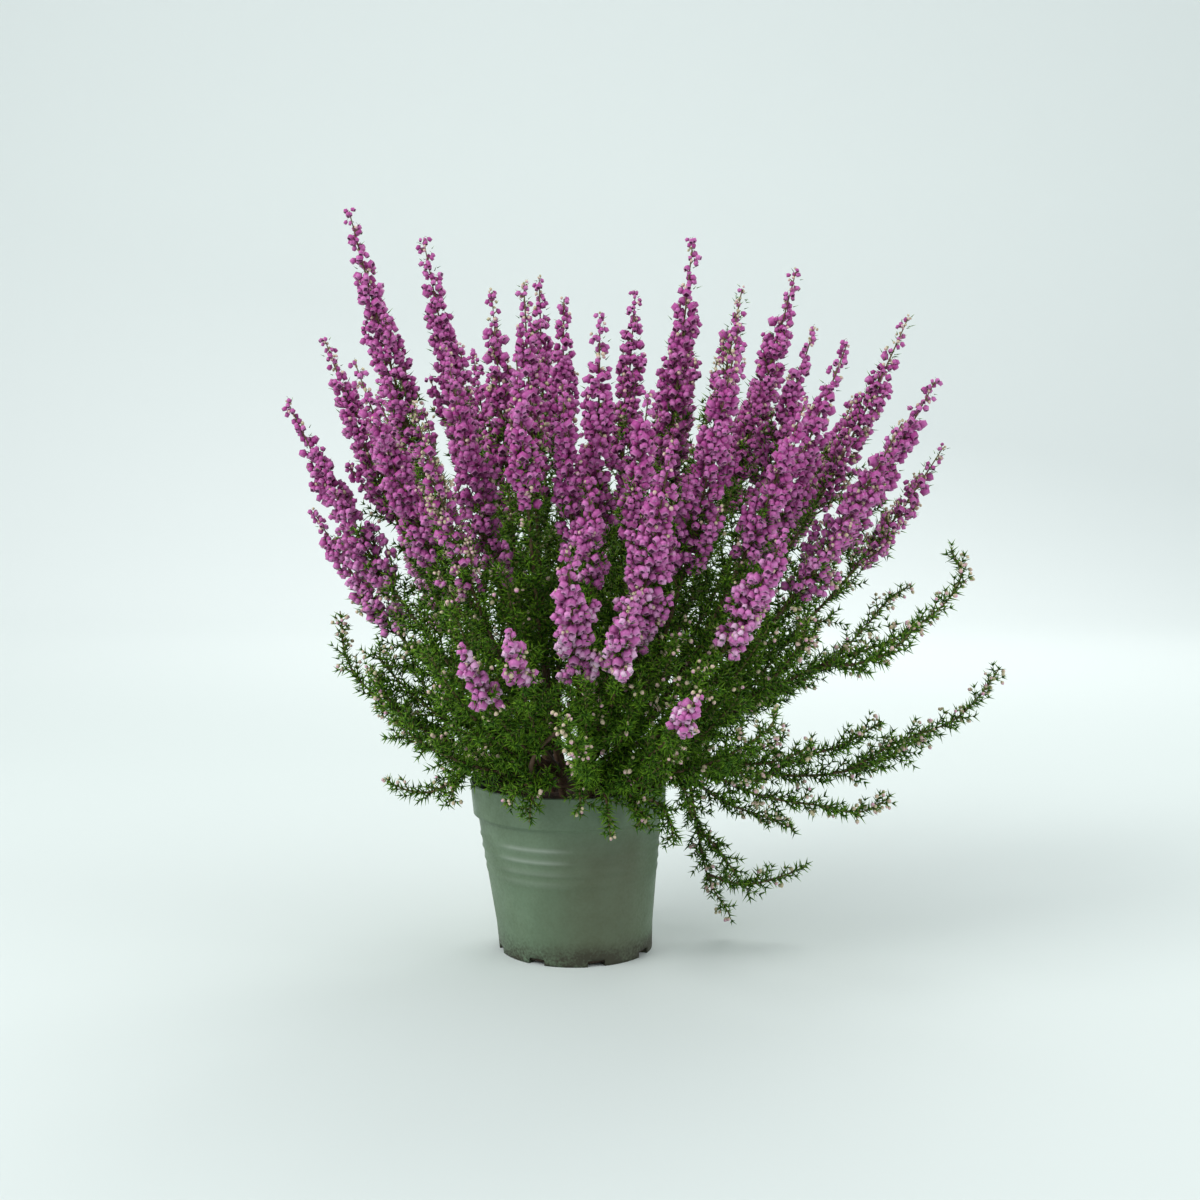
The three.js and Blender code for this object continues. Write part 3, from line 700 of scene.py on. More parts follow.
def seeded(node, start, step):
    """A node's own random draws, the same at every run."""
    return np.random.default_rng(start + step * sum(ord(letter) for letter in node))


def add_copies(skin, template, finish, places, axes, sizes, tint=None):
    """Adds copies of a small shape in one of the skin's materials. Each has a tint of its own, drawn at
    random if none is given."""
    shape, run = template
    tint = skin.rng.random(len(places)) if tint is None else tint
    if len(places):
        tints, runs = np.repeat(tint, len(run)), np.tile(run, len(places))
        skin.add(copies(shape, places, axes, sizes), finish, tints, runs)


class Twigs:
    """Short twigs as whole arrays. A twig's line is start + length (way t + curl t^2) for t from 0 to 1."""

    def __init__(self, starts, ways, curls, lengths):
        self.starts = starts
        self.ways = ways
        self.curls = curls
        self.lengths = lengths

    def chosen(self, which):
        """Some of the twigs."""
        return Twigs(self.starts[which], self.ways[which], self.curls[which], self.lengths[which])

    def at(self, t):
        """The places at the given shares of the twigs' lengths, a row for each twig."""
        t = t[..., None]
        reach = self.lengths[:, None, None]
        return self.starts[:, None] + reach * (self.ways[:, None] * t + self.curls[:, None] * t ** 2)

    def along(self, t):
        """The directions there."""
        return unit(self.ways[:, None] + 2 * self.curls[:, None] * t[..., None])

    def tubes(self):
        """Thin three-sided tubes, with a ring at each twig's foot and middle and a pointed tip."""
        count = len(self.starts)
        t = np.array([0.0, 0.5, 1.0])
        centres = self.at(t)
        level, rise = square_to(self.along(t[:2]))
        out = round_about(level[:, :, None], rise[:, :, None], turns(3))
        rings = centres[:, :2, None] + out * TWIG_RADII[:, None, None]
        points = np.concatenate([rings.reshape(count, 6, 3), centres[:, :1], centres[:, 2:]], axis=1)
        return points.reshape(-1, 3), repeated(capped_faces(2, 3), count, points.shape[1])


def whorls(skin, centres, along, lengths, lean, leaves):
    """Needles round each centre. Each whorl is turned at random, and its needles lean forward."""
    rng = skin.rng
    count, each = len(centres), NEEDLES_IN_WHORL
    level, rise = square_to(along)
    turn = rng.uniform(0, 2 * np.pi / each, (count, 1)) + turns(each) + rng.normal(0, 0.2, (count, each))
    out = round_about(level[:, None], rise[:, None], turn).reshape(-1, 3)
    along = np.repeat(along, each, axis=0)
    ways = unit(out + along * (np.repeat(lean, each) + rng.uniform(-0.2, 0.3, each * count))[:, None])
    places = np.repeat(centres, each, axis=0) + along * rng.normal(0, 0.4 * MM, (each * count, 1))
    length = np.repeat(lengths, each) * rng.uniform(0.75, 1.05, each * count)
    width = leaves.needle_width * (0.5 + 0.5 * length / leaves.needle_length)
    add_copies(skin, needle_shape(), "needle", places, axes_from(ways, np.cross(ways, along)),
               np.column_stack([width, 0.8 * width, length]))


def leafy_twigs(skin, starts, ways, lengths, plump, leaves, bud_share, forks=0):
    """Short twigs with whorls of needles that close up towards the tip, and nodding buds on some of them.
    plump is the size of each twig's needles, bud_share its chance to have buds, and forks the number of
    smaller twigs that each one bears."""
    rng = skin.rng
    count = len(starts)
    if count == 0:
        return
    curls = 0.25 * UP * rng.uniform(0.0, 1.0, (count, 1)) + rng.normal(0, 0.12, (count, 3))
    twigs = Twigs(starts, ways, curls, lengths)
    skin.add(twigs.tubes(), "twig", run=0.8)
    steps = np.arange(1, WHORLS_ON_TWIG + 1) * leaves.whorl_spacing
    t = steps / lengths[:, None] + rng.uniform(-0.04, 0.04, (count, 1))
    grown = t < 1.02
    size = leaves.needle_length * plump[:, None] * (0.95 - 0.3 * np.clip(t, 0, 1) ** 2)
    lean = 0.55 + 0.9 * t ** 3
    whorls(skin, twigs.at(t)[grown], twigs.along(t)[grown], size[grown], lean[grown], leaves)
    budding = twigs.chosen(rng.random(count) < bud_share)
    centres = budding.at(rng.uniform(0.5, 1.0, (len(budding.starts), BUDS_ON_TWIG)))
    nodding_buds(skin, centres.reshape(-1, 3), np.repeat(budding.ways, BUDS_ON_TWIG, axis=0))
    if forks:
        t = rng.uniform(0.2, 0.75, (count, forks))
        centres = twigs.at(t).reshape(-1, 3)
        ways = np.repeat(ways, forks, axis=0)
        level, rise = square_to(ways)
        ways = unit(ways + round_about(level, rise, rng.uniform(0, 2 * np.pi, len(ways))))
        lengths = np.repeat(lengths, forks) * (1.05 - t.ravel()) * rng.uniform(0.6, 0.9, len(ways))
        grown = lengths > LEAST_FORK
        plump, bud_share = np.repeat(plump, forks)[grown], 0.6 * np.repeat(bud_share, forks)[grown]
        leafy_twigs(skin, centres[grown], ways[grown], lengths[grown], plump, leaves, bud_share)


def nodding_buds(skin, centres, along):
    """Small pale buds that stand off their twig and nod."""
    rng = skin.rng
    count = len(centres)
    level, rise = square_to(along)
    out = round_about(level, rise, rng.uniform(0, 2 * np.pi, count))
    ways = unit(out - 0.8 * UP + 0.5 * along)
    size = rng.uniform(2.0, 3.1, count) * MM
    places = centres + out * rng.uniform(0.8, 2.2, (count, 1)) * MM
    add_copies(skin, bud_shape(), "bud", places, axes_from(ways, along),
               np.column_stack([0.85 * size, 0.85 * size, size]))


def dress_shoot(skin, shoot, room, leaves, habit):
    """A thin stem along the shoot's line, whorls of needles from its bare foot to its end, and leafy side
    twigs in a golden spiral wherever there is room for them. The twigs go on a little way into the spire,
    and a short shoot has few buds."""
    rng, line, sides = skin.rng, shoot.line, 5
    runs = np.linspace(0, shoot.end, max(8, int(shoot.end / (5 * MM))))
    share = runs / line.length
    knots = 1 + 0.1 * np.sin(runs / MM * 1.7)
    green = (0.3 if shoot.radius == WOODY_LOOP_RADIUS else 0.75) * share
    skin.add(tube(line, runs, shoot.radius * (1 - 0.62 * share) * knots, sides), "twig", rng.random(),
             np.append(np.repeat(green, sides), [0, green[-1]]))
    runs = np.arange(shoot.first, shoot.end, leaves.whorl_spacing)
    size = leaves.needle_length * PLUMP * (1 - 0.35 * (runs / shoot.end) ** 2)
    whorls(skin, line.at(runs), line.ways(runs)[0], size, np.full(len(runs), 0.6), leaves)
    last = shoot.end + (0.22 * shoot.crown.length if shoot.crown else -3 * MM)
    runs = np.arange(shoot.first, last, habit["spacing"]) + rng.uniform(0, habit["spacing"])
    if len(runs) == 0:
        return
    along, level, rise = line.ways(runs)
    out = golden_spiral(level, rise, rng)
    ways = unit(out * rng.uniform(0.5, 1.0, (len(runs), 1)) + along)
    share = runs / last
    taper = 0.3 if shoot.crown else 0.5
    lengths = habit["length"] * rng.uniform(0.55, 1.0, len(runs)) * (1 - taper * share ** 4)
    starts = line.at(runs)
    lengths = lengths + np.minimum(room.around(starts + ways * lengths[:, None], shoot.own), 0)
    grown = lengths > LEAST_TWIG
    buds = habit["buds"] * min(1, line.length / BUDDING_LENGTH) ** 2 * (0.15 + 0.85 * share ** 2)
    leafy_twigs(skin, starts[grown], ways[grown], lengths[grown], (PLUMP - 0.3 * share)[grown], leaves,
                buds[grown], habit["forks"])


def dress_post(skin, stem):
    """The woody post of a stem, from its hole in the soil to its fork, with knots and a swollen foot."""
    line, sides = threaded([stem.foot, stem.ground, stem.top]), 10
    runs = np.linspace(0, line.length, 24)
    share, height = runs / line.length, runs[:, None] / MM
    turn = turns(sides)
    knots = 1 + 0.1 * np.sin(height * 0.9 + 2 * turn) + 0.07 * np.sin(3 * turn + height * 0.35)
    taper = STEM_RADIUS * (0.98 - 0.25 * share ** 2)
    skin.add(tube(line, runs, np.minimum(taper[:, None] * knots, 1.02 * STEM_RADIUS), sides), "bark",
             skin.rng.random(), np.append(np.repeat(share, sides), [0, 1]))


# Dressing of spires

class Spike:
    """A stretch of a line that bears bells. girth tells how far they reach, for lengths along the line."""

    def __init__(self, line, start, girth):
        self.line = line
        self.start = start
        self.length = line.length - start
        self.girth = girth
        self.area = 2 * np.pi * girth(np.linspace(start, line.length, 60)).mean() * self.length


def spiral(spike, count, rng, last=1.0, tips=0):
    """Places round a spike or a whole spire in a golden spiral, as dense on every stretch of its surface:
    the lengths along its line are spread by its girth, and bunched every few millimetres, the more so
    towards the tip. The last ones, as many as tips says, stand evenly up to the very tip. It gives the
    lengths, their shares of the spike, the places on the line, and the directions along it and out of it."""
    fine = np.linspace(spike.start, spike.start + last * spike.length, 80)
    girth = np.maximum(spike.girth(fine), LEAST_GIRTH)
    area = np.concatenate([[0], np.cumsum(0.5 * (girth[1:] + girth[:-1]))])
    runs = np.interp((np.arange(count) + 0.5) / count, area / area[-1], fine)
    share = (runs - spike.start) / spike.length
    wave = 2 * np.pi / BUNCH
    runs = runs + (0.45 + 0.5 * share) / wave * np.sin(runs * wave)
    if tips:
        runs[-tips:] = np.linspace(runs[-tips - 1], spike.line.length - TIP_GAP, tips + 1)[1:]
    along, level, rise = spike.line.ways(runs)
    return runs, share, spike.line.at(runs), along, golden_spiral(level, rise, rng, scatter=0.25)


def spike_girth(share):
    """How far the bells of a side spike reach from its line: less and less towards its tip."""
    return SPIKE_GIRTH * (1 - 0.5 * share ** 2)


def side_spikes(spire, rng):
    """Short flowering branches in a golden spiral up the lower part of a spire. Each leaves its line at a
    small angle, bends up beside it and ends about as far out as the solid reaches."""
    count = int(spire.length / SPIKE_SPACING)
    share = (np.arange(count) + rng.uniform(0, 1, count)) / count * 0.76 - 0.14
    runs = spire.start + share * spire.length
    along, level, rise = spire.line.ways(runs)
    out = golden_spiral(level, rise, rng)
    lengths = spire.length * (0.34 - 0.28 * share) * rng.uniform(0.75, 1.15, count)
    feet = spire.line.at(runs)
    beside = np.minimum(runs + 0.9 * lengths, spire.line.length - 4 * MM)
    reach = spire.girth(beside) * (1.2 - 0.4 * share) * rng.uniform(0.75, 1.05, count) - 2 * MM
    tips = spire.line.at(beside) + out * reach[:, None]
    spikes = []
    for foot, tip, way, side, length in zip(feet, tips, along, out, lengths):
        line = bezier(foot, foot + 0.3 * length * (way + 0.7 * side), tip - 0.35 * length * way, tip, 40)
        spikes.append(Spike(line, 0.25 * line.length, lambda run, end=line.length: spike_girth(run / end)))
    return spikes


def paleness(heights):
    """Bells are pale low on the plant and deep in colour high up, with an even fade between."""
    return np.clip(1 - (heights - PALE_BELOW) / PALE_FADE, LEAST_PALE, 1)


def dress_spire(spire, bells, leaves, materials):
    """A spire: its main spike and a few side spikes. Each has a thin axis with short branchlets in a spiral,
    which end in clusters of nodding bells. Plain deep bells and small leaves fill it behind them."""
    rng = seeded(spire.node, start=1000, step=31)
    skin = Skin(materials, rng)
    closed = IN_BUD.get(spire.node, OPEN_SPIRE)
    main = Spike(spire.line, spire.start, lambda run: MAIN_SHARE * spire.girth(run))
    for spike in [main] + side_spikes(spire, rng):
        foot, radius = (main.start, MAIN_AXIS_RADIUS) if spike is main else (0, SIDE_AXIS_RADIUS)
        runs = np.linspace(foot, spike.line.length - AXIS_TIP_GAP, 12)
        radii = np.linspace(radius, AXIS_TIP_RADIUS, len(runs))
        skin.add(tube(spike.line, runs, radii, sides=4), "twig", run=0.5)
        bell_clusters(skin, spike, bells, closed)
    inner_bells(skin, main, bells)
    spire_leaves(skin, spire, leaves, closed)
    skin.build(f"{spire.node}_bells", spire.node)


def bell_clusters(skin, spike, bells, closed):
    """Short branchlets in a spiral round the spike, each with bells that spread round its end and nod. Those
    near the tip and a share of the others are closed, and the deeper ones are plainer."""
    rng = skin.rng
    each = bells.cluster
    count = max(int(spike.area / bells.spacing ** 2 / each * (1 - 0.3 * closed)), LEAST_CLUSTERS)
    runs, share, places, _, out = spiral(spike, count, rng, tips=min(TIP_CLUSTERS, count - 1))
    size = np.clip(1.12 - 0.4 * share ** 3, 0.7, 1) * (1 - 0.25 * closed)
    reach = spike.girth(runs) * rng.uniform(0.85, 1.0, count) - 0.5 * bells.bell_length * size
    reach = np.maximum(reach, 1.0 * MM)
    ends = places + out * reach[:, None]
    stalks = ends - spike.line.at(runs - 0.6 * reach)
    lengths = np.linalg.norm(stalks, axis=1)
    branchlets = Twigs(ends - stalks, stalks / lengths[:, None], 0.1 * UP * np.ones((count, 1)), lengths)
    skin.add(branchlets.tubes(), "twig", run=0.85)
    level, rise = square_to(out)
    turn = rng.uniform(0, 2 * np.pi, (count, 1)) + turns(each)
    side = round_about(level[:, None], rise[:, None], turn + rng.normal(0, 0.3, (count, each)))
    depth = (np.arange(each) % 2 * 0.7 + rng.uniform(0, 0.3, (count, each)))[..., None]
    droop = rng.uniform(0.8, 2.0, (count, each, 1))
    ways = unit(side * 0.7 + out[:, None] * (0.75 - 0.3 * depth) - UP * droop).reshape(-1, 3)
    feet = ends[:, None] + side * CLUSTER_SPREAD + UP * CLUSTER_LIFT
    feet = (feet - out[:, None] * depth * CLUSTER_DEPTH * size[:, None, None]).reshape(-1, 3)
    depth = depth.ravel()
    share, size = np.repeat(share, each), np.repeat(size, each)
    length = bells.bell_length * size * rng.uniform(0.82, 1.1, len(feet))
    wide = length * bells.bell_width / bells.bell_length
    sizes = np.column_stack([wide, wide, length])
    tint = rng.random(len(feet)) * 0.5 + paleness(feet[:, 2]) * 0.5
    axes = axes_from(ways, -np.repeat(out, each, axis=0) + 0.2 * rng.normal(0, 1, ways.shape))
    is_bud = rng.random(len(feet)) < closed + 0.2 * (share > 0.8)
    kept = rng.random(len(feet)) < np.clip(1.3 - 0.5 * share, 0.8, 1)
    near, deep, shut = kept & ~is_bud & (depth < 0.5), kept & ~is_bud & (depth >= 0.5), kept & is_bud
    add_copies(skin, bell_shape(), "bell", feet[near], axes[near], sizes[near], tint[near])
    add_copies(skin, deep_bell_shape(), "bell", feet[deep], axes[deep], sizes[deep], tint[deep])
    add_copies(skin, bud_shape(), "bud", feet[shut], axes[shut], 0.7 * sizes[shut])


def inner_bells(skin, spike, bells):
    """Plain bells behind the clusters, up to where the spire gets sparse. They are kept nearer the deep bell
    colour than the outer bells, as painted shade inside the spire.
    """
    rng = skin.rng
    count = int(spike.area / (2.1 * bells.spacing) ** 2)
    runs, _, places, along, out = spiral(spike, count, rng, last=0.8)
    places = places + out * (spike.girth(runs) * rng.uniform(0.25, 0.5, count))[:, None]
    ways = unit(out - UP * rng.uniform(0.5, 1.2, (count, 1)))
    length = 1.2 * bells.bell_length * rng.uniform(0.8, 1.1, count)
    # Painted shade: these bells take less of the pale tint than the outer ones, so they stay deeper in colour
    add_copies(skin, deep_bell_shape(), "bell", places, axes_from(ways, UP + 0.2 * along),
               np.column_stack([length] * 3), rng.random(count) * 0.25 + 0.4 * paleness(places[:, 2]))


def spire_leaves(skin, spire, leaves, closed):
    """Small leaves between the clusters, most of them low on the spire."""
    rng = skin.rng
    count = int(spire.area / SPIRE_LEAF_SPACING ** 2 * (1 + 2 * closed))
    runs, share, places, along, out = spiral(spire, count, rng)
    places = places + out * (spire.girth(runs) * rng.uniform(0.2, 0.75, count))[:, None]
    ways = unit(out + 0.8 * along + rng.normal(0, 0.25, out.shape))
    low = rng.random(count) < 1.1 - 1.05 * share * (1 - closed)
    length = leaves.needle_length * rng.uniform(0.6, 0.95, count) * (1 - 0.45 * share)
    width = 0.8 * leaves.needle_width * (1 - 0.4 * share)
    add_copies(skin, needle_shape(), "needle", places[low], axes_from(ways, np.cross(ways, along))[low],
               np.column_stack([width, 0.8 * width, length])[low])


# Shader nodes

def feed(tree, value, socket):
    """Gives an input its value: another socket, a colour or a number."""
    if isinstance(value, bpy.types.NodeSocket):
        tree.links.new(value, socket)
    else:
        socket.default_value = (*value, 1) if socket.type == "RGBA" else value


def shader_node(tree, kind, inputs=None, **settings):
    """A shader node of a kind, with its settings, and with its inputs fed."""
    node = tree.nodes.new(f"ShaderNode{kind}")
    for name, value in settings.items():
        setattr(node, name, value)
    for name, value in (inputs or {}).items():
        feed(tree, value, node.inputs[name])
    return node


def attribute(tree, label):
    """The value of a named attribute of the mesh."""
    return shader_node(tree, "Attribute", attribute_name=label).outputs["Fac"]


def ramp(tree, factor, stops):
    """A colour that goes through the given stops as the factor rises. The first two stops are its ends."""
    node = shader_node(tree, "ValToRGB", {"Fac": factor})
    elements = node.color_ramp.elements
    for k, (place, colour) in enumerate(stops):
        element = elements[k] if k < 2 else elements.new(place)
        element.position = place
        element.color = (*colour, 1)
    return node.outputs["Color"]


def mixed(tree, factor, first, second, blend="MIX"):
    """Two colours mixed. Each may be a socket or three numbers, and the factor a socket or a number."""
    inputs = {"Factor": factor, "A": first, "B": second}
    return shader_node(tree, "Mix", inputs, data_type="RGBA", blend_type=blend).outputs["Result"]


def calculated(tree, operation, first, second, clamp=False):
    """The sum, difference or product of two sockets or numbers. With clamp, it stays from 0 to 1."""
    return shader_node(tree, "Math", {0: first, 1: second}, operation=operation, use_clamp=clamp).outputs[0]


def times(tree, first, second):
    """The product of two values."""
    return calculated(tree, "MULTIPLY", first, second)


def rescaled(tree, value, low, high, first=0.0, last=1.0, kind="LINEAR"):
    """A value spread anew: from low to high, it goes from first to last."""
    inputs = {"Value": value, "From Min": low, "From Max": high, "To Min": first, "To Max": last}
    return shader_node(tree, "MapRange", inputs, interpolation_type=kind).outputs["Result"]


def place_mask(tree, axis, none, full):
    """0 at the one place along an axis of the object and 1 at the other, with a smooth slope between."""
    place = shader_node(tree, "TexCoord").outputs["Object"]
    split = shader_node(tree, "SeparateXYZ", {"Vector": place})
    return rescaled(tree, split.outputs[axis], none, full, kind="SMOOTHSTEP")


def mottle_group():
    """A shader group for uneven colour and grain: two sizes of noise on Object coordinates, blended. It
    gives a mask for colour and a height for bumps."""
    group = bpy.data.node_groups.get("Mottle")
    if group:
        return group
    group = bpy.data.node_groups.new("Mottle", "ShaderNodeTree")
    for name, high, start in (("Scale", 5000, 200), ("Fine Scale", 20000, 1500), ("Fine Share", 1, 0.4),
                              ("Contrast", 10, 2)):
        socket = group.interface.new_socket(name, in_out="INPUT", socket_type="NodeSocketFloat")
        socket.min_value, socket.max_value, socket.default_value = 0, high, start
    for name in ("Mask", "Height"):
        group.interface.new_socket(name, in_out="OUTPUT", socket_type="NodeSocketFloat")
    given = group.nodes.new("NodeGroupInput").outputs
    place = shader_node(group, "TexCoord").outputs["Object"]
    coarse, fine = (shader_node(group, "TexNoise", {"Vector": place, "Scale": given[scale], "Detail": 4})
                    for scale in ("Scale", "Fine Scale"))
    inputs = {"Factor": given["Fine Share"], "A": coarse.outputs["Fac"], "B": fine.outputs["Fac"]}
    height = shader_node(group, "Mix", inputs).outputs["Result"]
    strong = times(group, calculated(group, "SUBTRACT", height, 0.5), given["Contrast"])
    result = group.nodes.new("NodeGroupOutput").inputs
    group.links.new(calculated(group, "ADD", strong, 0.5, clamp=True), result["Mask"])
    group.links.new(height, result["Height"])
    return group


def mottle(tree, scale, fine_scale, fine_share=0.4, contrast=2.0):
    """The mask and the height of the mottle group, placed in a material with its own values."""
    inputs = {"Scale": scale, "Fine Scale": fine_scale, "Fine Share": fine_share, "Contrast": contrast}
    return shader_node(tree, "Group", inputs, node_tree=mottle_group()).outputs


# Materials

def new_material(name):
    """An empty material and its node tree."""
    material = bpy.data.materials.new(name)
    material.use_nodes = True
    return material, material.node_tree


def finish(tree, colour, roughness, gloss=0.5):
    """Gives the shader its colour, its roughness and its gloss, each a socket or a value."""
    shader = tree.nodes["Principled BSDF"]
    for label, value in (("Base Color", colour), ("Roughness", roughness), ("Specular IOR Level", gloss)):
        feed(tree, value, shader.inputs[label])


def bump(tree, height, strength, distance):
    """Relief on the shader from a height."""
    node = shader_node(tree, "Bump", {"Height": height, "Strength": strength, "Distance": distance})
    tree.links.new(node.outputs["Normal"], tree.nodes["Principled BSDF"].inputs["Normal"])


def toned(colour, share, more=0):
    """A colour made darker or lighter, and paler by so much more."""
    return tuple(min(1, share * c + more) for c in colour)


def bell_material(colours):
    """Magenta bells: a reddish calyx, a deep foot that is darkened further as painted shade between crowded
    bells, a brighter belly, a pale lip and a throat darkened as painted shade. Tint makes a bell paler, and
    the palest are faded almost to white."""
    material, tree = new_material("Heath bell")
    tint = attribute(tree, "tint")
    run = rescaled(tree, attribute(tree, "run"), STALK_RUN, THROAT_RUN)

    def along_bell(colour):
        # Painted shade: the throat is darkened to a quarter of the bell's colour, and the foot to 0.6 of it,
        # partly its own deeper colour and partly painted shade
        shaded_throat = toned(colour, 0.25)
        return ramp(tree, run, [(0.0, CALYX), (1.0, shaded_throat), (0.14, CALYX), (0.21, toned(colour, 0.6)),
                                (0.42, colour), (0.62, colour), (0.74, toned(colour, 0.95, 0.16)),
                                (0.82, shaded_throat)])

    colour = mixed(tree, tint, along_bell(colours.bell), along_bell(colours.bell_pale))
    fading = rescaled(tree, tint, FADING_TINT, 1)
    colour = mixed(tree, fading, colour, along_bell(toned(colours.bell_pale, 0.5, 0.45)))
    finish(tree, colour, roughness=0.5, gloss=0.35)
    return material


def bud_material(colours):
    """Closed buds: cream green, flushed with pink towards the point on some."""
    material, tree = new_material("Heath bud")
    run, cream = attribute(tree, "run"), colours.bud
    fresh = ramp(tree, run, [(0.0, BUD_FOOT), (1.0, cream), (0.25, toned(cream, 0.75))])
    flushed = ramp(tree, run, [(0.0, BUD_CALYX), (1.0, colours.bell_pale), (0.3, cream)])
    finish(tree, mixed(tree, attribute(tree, "tint"), fresh, flushed), roughness=0.5)
    return material


def needle_material(colours):
    """Green needles, from grass green to blue green, lighter at the tip."""
    material, tree = new_material("Heath needle")
    run, dark = attribute(tree, "run"), colours.needle
    first = ramp(tree, run, [(0.0, toned(dark, 0.6)), (1.0, toned(dark, 1.3))])
    second = ramp(tree, run, [(0.0, dark), (1.0, colours.needle_light)])
    finish(tree, mixed(tree, attribute(tree, "tint"), first, second), roughness=0.55, gloss=0.18)
    return material


def twig_material(colours):
    """Twigs: brown and woody at the foot, reddish green towards the tip."""
    material, tree = new_material("Heath twig")
    grown = ramp(tree, attribute(tree, "run"), [(0.0, colours.bark), (1.0, YOUNG_TWIG), (0.45, GROWN_TWIG)])
    shade = mixed(tree, mottle(tree, scale=400, fine_scale=2500)["Mask"], grown, TWIG_SHADE, "MULTIPLY")
    finish(tree, mixed(tree, 0.5, grown, shade), roughness=0.7)
    return material


def bark_material(colours):
    """Grey-brown bark with fine flakes."""
    material, tree = new_material("Heath bark")
    patches = mottle(tree, scale=350, fine_scale=1800, fine_share=0.5, contrast=3)
    colour = mixed(tree, patches["Mask"], toned(colours.bark, 0.5), toned(colours.bark, 1.9))
    finish(tree, colour, roughness=0.85)
    bump(tree, patches["Height"], strength=0.6, distance=0.4 * MM)
    return material


def soil_material(colours):
    """Moist dark peat with lighter fibres."""
    material, tree = new_material("Peat")
    patches = mottle(tree, scale=260, fine_scale=1400, fine_share=0.5, contrast=4)
    colour = mixed(tree, patches["Mask"], toned(colours.soil, 0.35), toned(colours.soil, 2.2))
    tinted = mixed(tree, attribute(tree, "tint"), colour, toned(colours.soil, 2.6))
    finish(tree, mixed(tree, 0.35, colour, tinted), roughness=0.95)
    bump(tree, patches["Height"], strength=0.9, distance=0.8 * MM)
    return material


def pot_material(colours):
    """Soft green plastic: faded in patches and dusty, with a soft brown band of painted shade down the middle
    and right of the wall, dark splashes of dried peat at the foot, and painted highlights on the left of
    the rib crests. Run says how strongly a rib's crest takes the painted highlight."""
    material, tree = new_material("Pot plastic")
    fade = mottle(tree, scale=28, fine_scale=240, fine_share=0.25, contrast=2.2)
    dust = mottle(tree, scale=70, fine_scale=700, fine_share=0.45, contrast=3.5)
    green, dirt_and_shade = colours.pot, colours.pot_dirt_and_shade
    faded = toned(green, 1.3, 0.03)
    colour = mixed(tree, fade["Mask"], green, faded)
    # Painted shade: a soft brown band down the middle and right of the wall, fading out towards the rim
    painted_shade = times(tree, place_mask(tree, "X", *SHADE_BAND_FROM_LEFT), place_mask(tree, "Z", *SHADE_BAND_FROM_TOP))
    painted_shade = times(tree, painted_shade, place_mask(tree, "X", *SHADE_BAND_FROM_RIGHT))
    colour = mixed(tree, times(tree, painted_shade, 0.6), colour, dirt_and_shade)
    splashes = times(tree, place_mask(tree, "Z", *SPLASHES_FROM_TOP), dust["Mask"])
    colour = mixed(tree, times(tree, splashes, 1.8), colour, toned(dirt_and_shade, 0.4))
    colour = mixed(tree, times(tree, dust["Mask"], 0.2), colour, dirt_and_shade)
    # Painted highlights: pale marks on the rib crests on the left, where they would catch the light
    painted_highlights = times(tree, place_mask(tree, "X", *HIGHLIGHTS_FROM_RIGHT), place_mask(tree, "X", *HIGHLIGHTS_FROM_LEFT))
    painted_highlights = times(tree, attribute(tree, "run"), painted_highlights)
    colour = mixed(tree, times(tree, painted_highlights, 0.3), colour, toned(faded, 0.5, 0.5))
    finish(tree, colour, roughness=rescaled(tree, dust["Mask"], 0, 1, first=0.42, last=0.72))
    bump(tree, fade["Height"], strength=0.12, distance=0.5 * MM)
    return material


def litter_material():
    """Dry brown needles."""
    material, tree = new_material("Dry needle")
    finish(tree, DRY_NEEDLE, roughness=0.8)
    return material


def floor_material(settings):
    """A matt floor that turns into the paler backdrop as it goes back."""
    material, tree = new_material("Pale floor")
    colour = mixed(tree, place_mask(tree, "Y", *BACKDROP_FADE), settings.floor, settings.backdrop)
    finish(tree, colour, roughness=0.9)
    return material


PLANT_MATERIALS = {"bell": bell_material, "bud": bud_material, "needle": needle_material,
                   "twig": twig_material, "bark": bark_material}


def plant_materials(names, colours):
    """The plant's materials of those names, each made at its first use."""
    return {name: bpy.data.materials.get(f"Heath {name}") or PLANT_MATERIALS[name](colours) for name in names}


# The pot and the soil

def body_radius(z):
    """The pot's outer radius below the collar: upright at the foot, then widening evenly."""
    top = RIM_RADIUS - COLLAR_FLARE - COLLAR_STEP
    start = FOOT_RADIUS + FOOT_FLARE
    share = (z - FOOT_TOP) / (COLLAR_FOOT - FOOT_TOP)
    return np.where(z < FOOT_TOP, FOOT_RADIUS + FOOT_FLARE * z / FOOT_TOP, start + share * (top - start))


def rib_crests(z):
    """A smooth bump of height one over each rib, with a column for each rib."""
    return np.exp(-(((z[:, None] - RIB_HEIGHTS) / RIB_REACH) ** 2))


